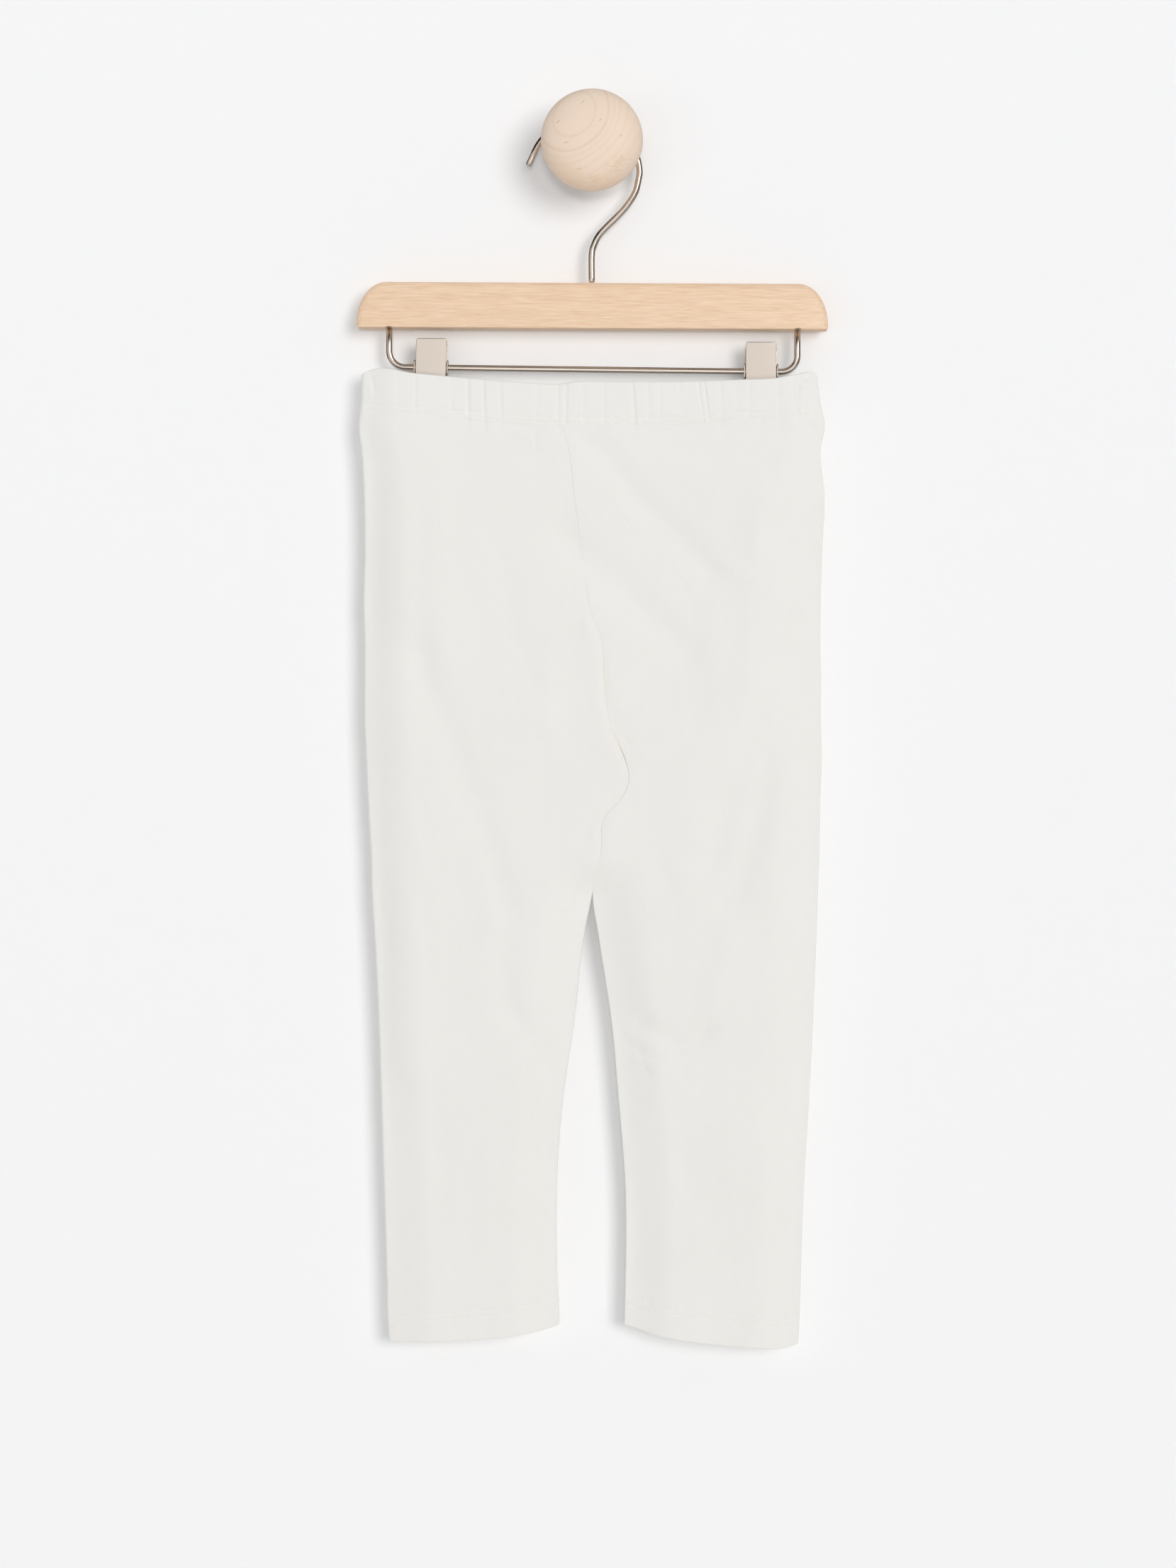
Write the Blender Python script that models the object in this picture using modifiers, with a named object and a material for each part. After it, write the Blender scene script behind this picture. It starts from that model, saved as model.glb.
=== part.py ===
"""Ivory jersey leggings that hang from a clip hanger on a round wooden wall knob.

Metres, +Z up. The wall is the plane y = 0 and the leggings hang in front of it, towards -Y.
The origin is the centre of the knob's back face, where it meets the wall. The front of the
leggings faces -Y, so the wearer's right leg is at -X. Tables and named sizes are in millimetres.
"""

import math

import bmesh
import bpy
import numpy as np

MM = 0.001
GAP = 0.3

# Wall knob: a turned pebble on a short stem.
KNOB_RADIUS = 31.2
KNOB_DEPTH = 34.0
STEM_LENGTH = 23.7

# Hanger: wooden bar, wire hook and wire rod, all centred at one depth from the wall.
HANGER_DEPTH = 13.9
WIRE = 3.8
BAR_X = 0.15
BAR_Z = -97.9
BAR_HALF_LENGTH = 145.75
BAR_HALF_HEIGHT = 14.3
BAR_HALF_THICKNESS = 6.0
BAR_ROUND = 3.0
BAR_SHOULDER = 16.5
BAR_SHOULDER_DROP = 25.0
BAR_TILT = 0.0038
HOOK_ARC_X = -3.7
HOOK_ARC_Z = -16.3
HOOK_RADIUS = 33.2
HOOK_ARC_END = 153.0
HOOK_TAIL = 12.0
HOOK_NECK = ((-0.1, -66.5), (1.2, -60.6), (4.2, -54.5), (9.2, -49.0), (15.3, -43.0),
             (21.3, -36.4), (26.9, -27.4))
ROD_LEFT = -125.1
ROD_RIGHT = 126.9
ROD_Z = -137.2
ROD_TILT = 0.0115
ROD_BEND = 10.0

# Clips: two sprung plates each, hung on the rod and gripping the back of the waistband.
CLIP_X = (("right", -99.4), ("left", 104.5))
CLIP_HALF_WIDTH = 9.45
CLIP_PLATE = 1.0
CLIP_RISE = 17.8
CLIP_JAW = 6.5
CLIP_DROP = 20.0
CLIP_TOP_SPREAD = 3.3
EAR = 0.9
EAR_RISE = 4.6

# Cloth walls, and the flattened tube that they make.
JERSEY = 1.2
HEM_WALL = 1.8
CASING = 2.4
FOLD_RADIUS = 3.5
SPREAD = 48.0
BAND_SPREAD = 22.0
HEM_HEIGHT = 17.0
BACK_DROP = 1.5
CROTCH_TOP = -366.0
CROTCH_END = -388.0

# Outline of the leggings at each height: outer sides, and the edges that meet at the centre
# seam above the crotch and part below it. half is half the tube's depth, mid its centre.
SECTION_COLUMNS = ("z", "side_right", "inner_right", "inner_left", "side_left", "half", "mid")
SECTIONS = np.array((
    (-138.0, -139.8, -20.0, -20.0, 138.0, 6.7, 19.3),
    (-160.0, -140.6, -19.0, -19.0, 141.2, 6.7, 19.3),
    (-172.1, -142.8, -18.1, -18.1, 143.5, 6.9, 19.3),
    (-186.0, -141.2, -14.6, -14.6, 141.1, 7.3, 19.3),
    (-215.7, -139.6, -10.9, -10.9, 143.3, 8.0, 19.4),
    (-250.7, -138.4, -5.9, -5.9, 141.9, 8.3, 19.4),
    (-285.6, -138.7, -0.9, -0.9, 140.9, 8.5, 19.4),
    (-303.1, -138.0, 5.7, 5.7, 140.6, 8.5, 19.4),
    (-329.3, -138.0, 7.6, 7.6, 141.1, 8.5, 19.3),
    (-355.5, -138.0, 11.4, 11.4, 141.1, 8.3, 19.2),
    (-381.7, -137.1, 21.4, 21.4, 141.5, 8.2, 19.1),
    (-387.8, -136.9, 22.7, 22.7, 141.3, 8.2, 19.1),
    (-403.5, -136.3, 17.0, 17.0, 140.6, 8.0, 19.0),
    (-412.3, -136.0, 8.8, 8.8, 140.6, 8.0, 19.0),
    (-434.1, -134.9, 5.5, 5.5, 140.2, 7.9, 18.9),
    (-460.3, -134.1, 0.4, 0.4, 139.3, 7.8, 18.8),
    (-486.5, -132.3, -4.8, 3.9, 138.4, 7.7, 18.8),
    (-538.9, -129.7, -10.9, 11.8, 136.3, 7.4, 18.6),
    (-591.3, -127.5, -18.3, 16.6, 133.6, 7.2, 18.5),
    (-643.7, -125.3, -21.8, 20.5, 130.6, 6.9, 18.4),
    (-696.2, -123.6, -21.4, 20.5, 128.8, 6.7, 18.3),
    (-722.4, -123.2, -20.1, 19.9, 128.0, 6.5, 18.3),
    (-742.0, -121.9, -19.7, 19.7, 126.9, 6.4, 18.3),
))

# Top edge of the waistband and its lower, stitched edge, along the front.
BAND_COLUMNS = ("x", "top", "bottom")
BAND = np.array((
    (-143.0, -141.0, -163.8),
    (-137.0, -138.4, -164.0),
    (-109.0, -140.5, -165.4),
    (-76.0, -143.6, -168.9),
    (-42.0, -146.2, -171.5),
    (-17.0, -146.8, -172.3),
    (-11.0, -145.8, -172.3),
    (11.0, -145.8, -172.2),
    (60.0, -145.5, -171.8),
    (93.0, -144.4, -169.1),
    (114.0, -143.3, -168.2),
    (127.0, -140.8, -167.6),
    (135.0, -139.3, -167.0),
    (143.0, -142.5, -166.7),
))

# Lower edge of each hem.
HEM_COLUMNS = ("x", "bottom")
HEM = np.array((
    (-122.0, -736.8), (-102.4, -736.3), (-70.6, -734.7), (-45.8, -732.1), (-28.3, -728.6),
    (-20.1, -726.1), (19.6, -726.1), (39.9, -732.2), (73.2, -737.6), (98.1, -739.7),
    (121.6, -740.1), (127.5, -738.2),
))

# Gathers of the waistband: grooves across its height, at the front and at the back, each with
# its x at half height, its depth and how far its foot lies to the right of its top.
FRONT_GATHERS = np.array((
    (-119.4, 0.4, 0.0), (-108.5, 0.4, 0.0), (-86.3, 0.5, 0.0), (-76.3, 1.1, 0.3),
    (-66.6, 1.0, 0.8), (-56.2, 0.7, 0.6), (-33.5, 0.5, 0.0), (-16.1, 1.2, -0.4),
    (-5.2, 0.6, 0.0), (7.4, 0.5, 0.0), (25.5, 1.1, 1.8), (34.8, 0.6, 0.5),
    (41.8, 0.5, 0.0), (54.2, 0.5, 0.8), (69.8, 1.1, 3.4), (79.5, 0.5, 1.2),
    (88.7, 0.4, 0.0), (96.7, 0.5, 0.0), (114.8, 0.4, 0.0), (126.7, 1.1, -0.4),
))
BACK_GATHERS = np.array((
    (-127.0, 0.7, 0.4), (-81.0, 0.8, -0.6), (-69.0, 0.6, 0.3), (-55.0, 1.0, 0.8),
    (-44.0, 0.6, 0.0), (-31.0, 0.9, -0.5), (-19.0, 1.1, 0.0), (-6.0, 0.7, 0.4),
    (9.0, 0.9, 0.9), (21.0, 0.6, 0.0), (36.0, 1.0, -0.7), (47.0, 0.6, 0.3),
    (61.0, 0.9, 0.5), (75.0, 0.7, 0.0), (84.0, 0.8, -0.4), (123.0, 0.9, 0.6),
))

# Largest folds: a trough or, where rise is positive, a ridge along three points. Columns:
# x1, z1, x2, z2, x3, z3, width, rise.
FRONT_FOLDS = np.array((
    (-3.5, -176.0, 30.0, -220.0, 71.8, -260.3, 9.0, -1.9),
    (-19.2, -240.2, 20.0, -274.0, 56.2, -311.6, 10.0, -1.9),
    (103.6, -220.6, 97.0, -300.0, 87.9, -387.0, 14.0, 1.8),
    (123.6, -315.6, 108.0, -390.0, 87.9, -466.6, 10.0, -2.2),
    (121.9, -294.7, 96.0, -365.0, 73.1, -440.5, 9.0, -1.6),
    (30.5, -541.5, 54.0, -553.3, 69.2, -547.2, 7.0, -1.7),
    (-105.4, -314.3, -76.0, -398.0, -53.1, -469.7, 10.0, -2.1),
    (-54.5, -492.0, -52.0, -528.0, -25.7, -566.8, 9.0, -2.0),
    (-121.9, -216.3, -121.0, -390.0, -115.4, -564.6, 11.0, 1.1),
))
BACK_FOLDS = np.array((
    (-70.0, -190.0, -42.0, -250.0, -8.0, -300.0, 12.0, -1.8),
    (75.0, -185.0, 54.0, -262.0, 24.0, -330.0, 12.0, -2.0),
    (-20.0, -350.0, -52.0, -398.0, -90.0, -430.0, 10.0, -1.8),
    (50.0, -380.0, 74.0, -426.0, 105.0, -455.0, 10.0, -1.8),
    (-60.0, -500.0, -82.0, -568.0, -95.0, -640.0, 12.0, 1.5),
    (60.0, -520.0, 75.0, -560.0, 98.0, -590.0, 9.0, -1.7),
    (108.0, -230.0, 116.0, -350.0, 116.0, -480.0, 13.0, 1.3),
    (-40.0, -600.0, -58.0, -645.0, -70.0, -690.0, 9.0, -1.5),
))


def through(table, column, at):
    """Smooth curve through one column of a table, read at values of its first column."""
    order = np.argsort(table[:, 0])
    xs = table[order, 0]
    ys = table[order, column]
    slopes = np.gradient(ys, xs)
    at = np.clip(at, xs[0], xs[-1])
    i = np.clip(np.searchsorted(xs, at) - 1, 0, len(xs) - 2)
    width = xs[i + 1] - xs[i]
    s = (at - xs[i]) / width
    return (ys[i] * (1 + 2 * s) * (1 - s) ** 2 + slopes[i] * width * s * (1 - s) ** 2
            + ys[i + 1] * s * s * (3 - 2 * s) + slopes[i + 1] * width * s * s * (s - 1))


def section(name, z):
    return through(SECTIONS, SECTION_COLUMNS.index(name), z)


def band_edge(name, x):
    return through(BAND, BAND_COLUMNS.index(name), x)


def hem_edge(x):
    return through(HEM, HEM_COLUMNS.index("bottom"), x)


def ease(s):
    s = min(max(s, 0.0), 1.0)
    return s * s * (3 - 2 * s)


def rounding(e):
    """Height of a fold of FOLD_RADIUS at a distance e from its edge."""
    s = min(max(e / FOLD_RADIUS, 0.0), 1.0)
    return FOLD_RADIUS * math.sqrt(1 - (1 - s) ** 2)


def edge_height(e, half, spread):
    """Half depth of a flattened tube at a distance e from one of its side folds."""
    return rounding(e) + (half - FOLD_RADIUS) * ease(e / spread)


def distance(x, z, x1, z1, x2, z2):
    """Distance from a point to the straight stretch between two others."""
    along = ((x - x1) * (x2 - x1) + (z - z1) * (z2 - z1)) / ((x2 - x1) ** 2 + (z2 - z1) ** 2)
    near = min(max(along, 0.0), 1.0)
    return math.hypot(x - x1 - near * (x2 - x1), z - z1 - near * (z2 - z1))


def folds(table, x, z):
    """Sum of the folds of a table at one point of a panel."""
    total = 0.0
    for x1, z1, x2, z2, x3, z3, width, rise in table:
        off = min(distance(x, z, x1, z1, x2, z2), distance(x, z, x2, z2, x3, z3))
        total += rise * math.exp(-((off / width) ** 2))
    return total


def crotch(z):
    """0 where the two panels are joined at the centre, 1 where each leg is a tube of its own."""
    return ease((CROTCH_TOP - z) / (CROTCH_TOP - CROTCH_END))


def material(name, colour, roughness, metallic=0.0):
    made = bpy.data.materials.new(name)
    made.use_nodes = True
    shader = made.node_tree.nodes["Principled BSDF"]
    shader.inputs["Base Color"].default_value = (*colour, 1.0)
    shader.inputs["Roughness"].default_value = roughness
    shader.inputs["Metallic"].default_value = metallic
    return made


def add(name, data, finish):
    """A named object in the leggings' collection, with its material."""
    made = bpy.data.objects.new(name, data)
    bpy.data.collections["leggings_on_hanger"].objects.link(made)
    data.materials.append(finish)
    return made


def bevel(made, width, segments=2):
    modifier = made.modifiers.new("rounded edges", "BEVEL")
    modifier.width = width * MM
    modifier.segments = segments
    modifier.limit_method = "ANGLE"
    modifier.angle_limit = math.radians(40)


def sheet(name, grid, wrapped, wall, finish):
    """A loft over a grid of outer points (rows of x, depth, z), thickened inwards."""
    mesh = bpy.data.meshes.new(name)
    rows = len(grid)
    columns = len(grid[0])
    points = [(x * MM, -depth * MM, z * MM) for row in grid for x, depth, z in row]
    last = columns if wrapped else columns - 1
    faces = []
    for r in range(rows - 1):
        for c in range(last):
            d = (c + 1) % columns
            faces.append((r * columns + c, r * columns + d,
                          (r + 1) * columns + d, (r + 1) * columns + c))
    mesh.from_pydata(points, [], faces)
    mesh.shade_smooth()
    made = add(name, mesh, finish)
    solid = made.modifiers.new("wall", "SOLIDIFY")
    solid.thickness = wall * MM
    solid.offset = -1.0
    return made


def tube(name, points, thickness, finish):
    """Round wire through points (x, z) in the hanger's plane, with flat cut ends."""
    data = bpy.data.curves.new(name, "CURVE")
    data.dimensions = "3D"
    data.bevel_depth = thickness / 2 * MM
    data.bevel_resolution = 4
    data.use_fill_caps = True
    spline = data.splines.new("POLY")
    spline.points.add(len(points) - 1)
    for point, (x, z) in zip(spline.points, points):
        point.co = (x * MM, 0.0, z * MM, 1.0)
    made = add(name, data, finish)
    made.location.y = -HANGER_DEPTH * MM
    return made


def arc(x, z, radius, start, end, steps):
    """Points (x, z) along an arc, with angles in degrees from +X towards +Z."""
    angles = np.radians(np.linspace(start, end, steps + 1))
    return [(x + radius * math.cos(a), z + radius * math.sin(a)) for a in angles]


def turned(name, profile, steps, finish):
    """A turned shape: profile (radius, distance from the wall), from its front to its back."""
    mesh = bpy.data.meshes.new(name)
    points = [(r * MM, 0.0, depth * MM) for r, depth in profile]
    mesh.from_pydata(points, [(i, i + 1) for i in range(len(points) - 1)], [])
    made = add(name, mesh, finish)
    made.rotation_euler.x = math.radians(90)
    screw = made.modifiers.new("turn", "SCREW")
    screw.steps = steps
    screw.render_steps = steps
    screw.use_merge_vertices = True
    screw.merge_threshold = 0.0001
    screw.use_smooth_shade = True
    return made


def prism(name, outline, half_width, finish):
    """A plate whose outline (depth, z) is drawn at its side and extruded along X."""
    shape = bmesh.new()
    corners = [shape.verts.new((-half_width * MM, -depth * MM, z * MM)) for depth, z in outline]
    side = shape.faces.new(corners)
    grown = bmesh.ops.extrude_face_region(shape, geom=[side])
    moved = [item for item in grown["geom"] if isinstance(item, bmesh.types.BMVert)]
    bmesh.ops.translate(shape, verts=moved, vec=(2 * half_width * MM, 0.0, 0.0))
    bmesh.ops.recalc_face_normals(shape, faces=shape.faces)
    mesh = bpy.data.meshes.new(name)
    shape.to_mesh(mesh)
    shape.free()
    return add(name, mesh, finish)


def make_knob(wood):
    half = KNOB_DEPTH / 2
    steps = 12
    profile = []
    for i in range(steps + 1):
        angle = math.pi / 2 - math.pi * i / steps
        radius = KNOB_RADIUS * math.cos(angle) ** 0.72 if 0 < i < steps else 0.0
        height = half * math.copysign(abs(math.sin(angle)) ** 0.9, angle)
        profile.append((radius, STEM_LENGTH + GAP + half + height))
    turned("knob_head", profile, 40, wood)
    reach = math.hypot(HOOK_ARC_X, HOOK_ARC_Z)
    radius = HOOK_RADIUS - WIRE / 2 - GAP - reach
    bpy.ops.mesh.primitive_cylinder_add(vertices=40, radius=radius * MM, depth=STEM_LENGTH * MM)
    stem = bpy.context.object
    bpy.context.collection.objects.unlink(stem)
    bpy.data.collections["leggings_on_hanger"].objects.link(stem)
    stem.name = "knob_stem"
    stem.data.materials.append(wood)
    stem.rotation_euler.x = math.radians(90)
    stem.location.y = -STEM_LENGTH / 2 * MM


def bar_outline():
    """Outline of the wooden bar: straight foot, quarter ellipses at both shoulders."""
    inset = BAR_HALF_LENGTH - BAR_SHOULDER
    foot = -BAR_HALF_HEIGHT
    spring = BAR_HALF_HEIGHT - BAR_SHOULDER_DROP
    right = []
    for i in range(7):
        angle = math.radians(15 * i)
        right.append((inset + BAR_SHOULDER * math.cos(angle),
                      spring + BAR_SHOULDER_DROP * math.sin(angle)))
    left = [(-x, z) for x, z in reversed(right)]
    return [(-BAR_HALF_LENGTH, foot), (BAR_HALF_LENGTH, foot), *right, *left]


def make_hanger(wood, nickel):
    data = bpy.data.curves.new("bar", "CURVE")
    data.dimensions = "2D"
    data.fill_mode = "BOTH"
    data.extrude = (BAR_HALF_THICKNESS - BAR_ROUND) * MM
    data.bevel_depth = BAR_ROUND * MM
    data.bevel_resolution = 2
    data.offset = -BAR_ROUND * MM
    spline = data.splines.new("POLY")
    outline = bar_outline()
    spline.points.add(len(outline) - 1)
    for point, (x, z) in zip(spline.points, outline):
        point.co = (x * MM, z * MM, 0.0, 1.0)
    spline.use_cyclic_u = True
    bar = add("bar", data, wood)
    bar.location = (BAR_X * MM, -HANGER_DEPTH * MM, BAR_Z * MM)
    bar.rotation_euler = (math.radians(90), BAR_TILT, 0.0)

    top = BAR_Z + BAR_HALF_HEIGHT + GAP
    bend = arc(HOOK_ARC_X, HOOK_ARC_Z, HOOK_RADIUS, 0.0, HOOK_ARC_END, 17)
    end = math.radians(HOOK_ARC_END)
    tip = (bend[-1][0] - HOOK_TAIL * math.sin(end), bend[-1][1] + HOOK_TAIL * math.cos(end))
    tube("hook", [(HOOK_NECK[0][0], top), *HOOK_NECK, *bend, tip], WIRE, nickel)

    foot = BAR_Z - BAR_HALF_HEIGHT - GAP - WIRE / 2
    left_z = ROD_Z - ROD_LEFT * ROD_TILT
    right_z = ROD_Z - ROD_RIGHT * ROD_TILT
    left = arc(ROD_LEFT + ROD_BEND, left_z + ROD_BEND, ROD_BEND, 180.0, 270.0, 6)
    right = arc(ROD_RIGHT - ROD_BEND, right_z + ROD_BEND, ROD_BEND, 270.0, 360.0, 6)
    ends = ((ROD_LEFT, foot + 1.2), (ROD_RIGHT, foot + 0.8))
    tube("rod", [ends[0], *left, *right, ends[1]], WIRE, nickel)


def clip_side(sign, thickness):
    """Side outline of one clip plate, as (offset from the rod's centre, z above it)."""
    rod = WIRE / 2 + GAP
    jaw = CASING / 2 + GAP
    inner = ((rod + CLIP_TOP_SPREAD / 2, CLIP_RISE), (rod, 2.5), (rod, -2.5),
             (jaw, -CLIP_JAW), (jaw, -CLIP_DROP))
    outer = [(offset + thickness, z) for offset, z in reversed(inner)]
    return [(sign * offset, z) for offset, z in (*inner, *outer)]


def make_clip(side, x, nickel):
    """Front plate, and a back plate with two ears that the rod runs through."""
    z = ROD_Z - x * ROD_TILT
    place = (x * MM, -HANGER_DEPTH * MM, z * MM)
    front = prism(f"clip_{side}_front", clip_side(1, CLIP_PLATE), CLIP_HALF_WIDTH, nickel)
    back = prism(f"clip_{side}_back", clip_side(-1, CLIP_PLATE), CLIP_HALF_WIDTH + GAP + EAR, nickel)
    reach = WIRE / 2 + GAP + CLIP_PLATE
    ear_outline = ((-reach + 0.3, EAR_RISE), (reach, EAR_RISE), (reach, -EAR_RISE),
                   (-reach + 0.3, -EAR_RISE))
    cutters = bpy.data.collections["cutters"]
    for sign in (-1, 1):
        ear = prism(f"ear_{side}_{sign}", ear_outline, EAR / 2, nickel)
        ear.location = ((x + sign * (CLIP_HALF_WIDTH + GAP + EAR / 2)) * MM, place[1],
                        (z - sign * (CLIP_HALF_WIDTH + GAP + EAR / 2) * ROD_TILT) * MM)
        ear.rotation_euler.y = ROD_TILT
        bpy.data.collections["leggings_on_hanger"].objects.unlink(ear)
        cutters.objects.link(ear)
        ear.hide_render = True
        ear.display_type = "WIRE"
        join = back.modifiers.new(f"ear {sign}", "BOOLEAN")
        join.operation = "UNION"
        join.object = ear
    bpy.ops.mesh.primitive_cylinder_add(vertices=20, radius=(WIRE / 2 + GAP) * MM, depth=40 * MM)
    bore = bpy.context.object
    bore.name = f"bore_{side}"
    bpy.context.collection.objects.unlink(bore)
    cutters.objects.link(bore)
    bore.rotation_euler = (0.0, math.radians(90) + ROD_TILT, 0.0)
    bore.location = place
    bore.hide_render = True
    bore.display_type = "WIRE"
    cut = back.modifiers.new("rod hole", "BOOLEAN")
    cut.operation = "DIFFERENCE"
    cut.object = bore
    for plate in (front, back):
        plate.location = place
        plate.rotation_euler.y = ROD_TILT
    bevel(front, 0.35, 1)


def gather(table, x, up):
    """Depth of the waistband's gathers at x, where up runs from 0 at its foot to 1 at its top."""
    total = 0.0
    for centre, depth, lean in table:
        off = x - centre - lean * (0.5 - up)
        total += depth * math.exp(-((off / 1.5) ** 2))
    return total


def band_columns(table, left, right):
    """Places along the waistband: three for each gather, and others between them."""
    places = [(left + right) / 2]
    for centre, _, _ in table:
        places += [centre - 1.9, centre, centre + 1.9]
    places += list(np.arange(left + 16, right - 14, 9.0))
    places = sorted(p for p in places if left + 9 < p < right - 9)
    kept = [places[0]]
    for place in places[1:]:
        if place - kept[-1] > 1.4:
            kept.append(place)
    side = [0.0, FOLD_RADIUS * 0.29, FOLD_RADIUS]
    return [left + e for e in side] + kept + [right - e for e in reversed(side)]


def make_waistband(cloth):
    """Casing turned over the elastic: one ring, gathered, with its top edge rolled in."""
    left = section("side_right", -155.0)
    right = section("side_left", -155.0)
    front = [(x, 1, FRONT_GATHERS) for x in band_columns(FRONT_GATHERS, left, right)]
    back = [(x, -1, BACK_GATHERS) for x in band_columns(BACK_GATHERS, left, right)]
    loop = front + back[-2:0:-1]
    grid = []
    for up, roll in ((0.0, 0.0), (0.14, 0.0), (0.55, 0.0), (0.93, 0.0), (1.0, 0.7)):
        row = []
        for x, layer, table in loop:
            near = (x - left) / (right - left)
            inside = min(x - left, right - x)
            top = band_edge("top", x)
            if layer < 0:
                top -= BACK_DROP * ease(inside / 25)
            low_left = section("side_right", -170.0)
            low_right = section("side_left", -170.0)
            foot = band_edge("bottom", low_left + near * (low_right - low_left))
            z = foot + up * (top - foot)
            side_left = section("side_right", z)
            side_right = section("side_left", z)
            place = side_left + near * (side_right - side_left)
            half = section("half", z)
            height = edge_height(min(inside, 60.0), half, BAND_SPREAD)
            if layer > 0:
                height -= roll * ease(inside / 4)
            clear = ease((inside - 4) / 8)
            height -= gather(table, x, up) * (0.35 + 1.1 * up * (1.3 - up)) * clear
            row.append((place, section("mid", z) + layer * height, z))
        grid.append(row)
    sheet("waistband", grid, True, CASING, cloth)


def leg_columns(front, back, joined):
    """Columns round one leg: (layer, fraction of the width, offset from the inner edge, end)."""
    fold = FOLD_RADIUS
    near = [] if joined else [(0.0, 0.0, 1), (0.0, 0.03, 2)]
    near += [(0.0, fold * 0.29, 0), (0.0, fold, 0)]
    outer = [(1.0, -fold, 0), (1.0, -fold * 0.29, 0)]

    def between(count):
        return [(f, fold * (1 - 2 * f), 0) for f in np.linspace(0, 1, count + 2)[1:-1]]

    front_run = [(1, *item) for item in near + between(front) + outer]
    back_run = [(-1, *item) for item in near + between(back) + outer]
    edge = [(1, 1.0, 0.0, 0)]
    inner = [(1, 0.0, 0.0, 0)] if joined else []
    return inner + front_run + edge + back_run[::-1]


def leg_point(side, z, layer, fraction, offset, end):
    """One outer point of a leg: side is -1 for the right leg and 1 for the left."""
    outer_name = "side_right" if side < 0 else "side_left"
    inner_name = "inner_right" if side < 0 else "inner_left"
    apart = crotch(z)
    inner = section(inner_name, z) + side * (GAP / 2 + 0.1 * apart)
    outer = section(outer_name, z)
    if end == 2:
        offset += 0.8 * (1 - apart)
    x = inner + (outer - inner) * fraction + side * offset
    from_inner = max(side * (x - inner), 0.0)
    from_outer = max(side * (outer - x), 0.0)
    half = section("half", z)
    height = edge_height(from_outer, half, SPREAD)
    inner_height = edge_height(from_inner, half, SPREAD) / half
    if end == 1:
        inner_height = GAP / 2 / half
    if end == 2:
        inner_height = 1.2 / half
    height *= 1 - apart + apart * inner_height
    if end == 1:
        height = max(height, GAP / 2)
    table = FRONT_FOLDS if layer > 0 else BACK_FOLDS
    inner_fade = 1 - apart + apart * ease(from_inner / 14)
    height += folds(table, x, z) * ease(from_outer / 14) * inner_fade
    return x, section("mid", z) + layer * height, z


def leg_limits(side, fraction, offset):
    """Heights of a leg panel's top and foot at one of its columns."""
    outer_name = "side_right" if side < 0 else "side_left"
    inner_name = "inner_right" if side < 0 else "inner_left"
    ends = []
    for z in (-170.0, -715.0):
        inner = section(inner_name, z)
        ends.append(inner + fraction * (section(outer_name, z) - inner) + side * offset)
    return band_edge("bottom", ends[0]) - GAP, hem_edge(ends[1]) + HEM_HEIGHT


def make_leg(name, side, rows, cloth):
    """One panel, cut in one piece: centre front, round the outer side, to the centre back."""
    columns = leg_columns(12, 9, False)
    grid = []
    for r in range(rows + 1):
        row = []
        for layer, fraction, offset, end in columns:
            top, foot = leg_limits(side, fraction, offset)
            z = top + (foot - top) * r / rows
            row.append(leg_point(side, z, layer, fraction, offset, end))
        grid.append(row if side > 0 else row[::-1])
    sheet(name, grid[::-1], False, JERSEY, cloth)


def make_hem(name, side, cloth):
    """The turned-up foot of a leg: one ring below the panel."""
    columns = leg_columns(12, 9, True)
    grid = []
    for r, roll in ((0.0, 0.0), (0.55, 0.0), (0.93, 0.0), (1.0, 0.5)):
        row = []
        for layer, fraction, offset, end in columns:
            top = leg_limits(side, fraction, offset)[1] - GAP
            z = top - r * (HEM_HEIGHT - GAP)
            x, depth, z = leg_point(side, z, layer, fraction, offset, end)
            mid = section("mid", z)
            depth = mid + (depth - mid) * (1 - roll / section("half", z))
            row.append((x, depth, z))
        grid.append(row if side > 0 else row[::-1])
    sheet(name, grid[::-1], True, HEM_WALL, cloth)


def main():
    for thing in list(bpy.data.objects):
        bpy.data.objects.remove(thing)
    for name in ("leggings_on_hanger", "cutters"):
        bpy.context.scene.collection.children.link(bpy.data.collections.new(name))
    cloth = material("ivory jersey", (0.83, 0.82, 0.785), 0.92)
    knob_wood = material("pale turned wood", (0.80, 0.65, 0.49), 0.6)
    bar_wood = material("hanger wood", (0.82, 0.63, 0.41), 0.45)
    nickel = material("satin nickel", (0.66, 0.60, 0.53), 0.32, 1.0)
    make_knob(knob_wood)
    make_hanger(bar_wood, nickel)
    for side, x in CLIP_X:
        make_clip(side, x, nickel)
    make_waistband(cloth)
    make_leg("leg_right", -1, 26, cloth)
    make_leg("leg_left", 1, 26, cloth)
    make_hem("hem_right", -1, cloth)
    make_hem("hem_left", 1, cloth)


main()
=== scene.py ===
"""Ivory jersey leggings on a clip hanger, hung from a round wooden wall knob.

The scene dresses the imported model: cloth shells for the legs and the waistband, sewn stitches,
a turned knob, a wooden bar, bent wire and clips, in plain studio light in front of a pale wall.
Tables and named sizes are in millimetres. Depths are distances from the wall, towards -Y.
"""

import math

import bmesh
import bpy
import numpy as np
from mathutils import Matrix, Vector
from mathutils.bvhtree import BVHTree


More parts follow.
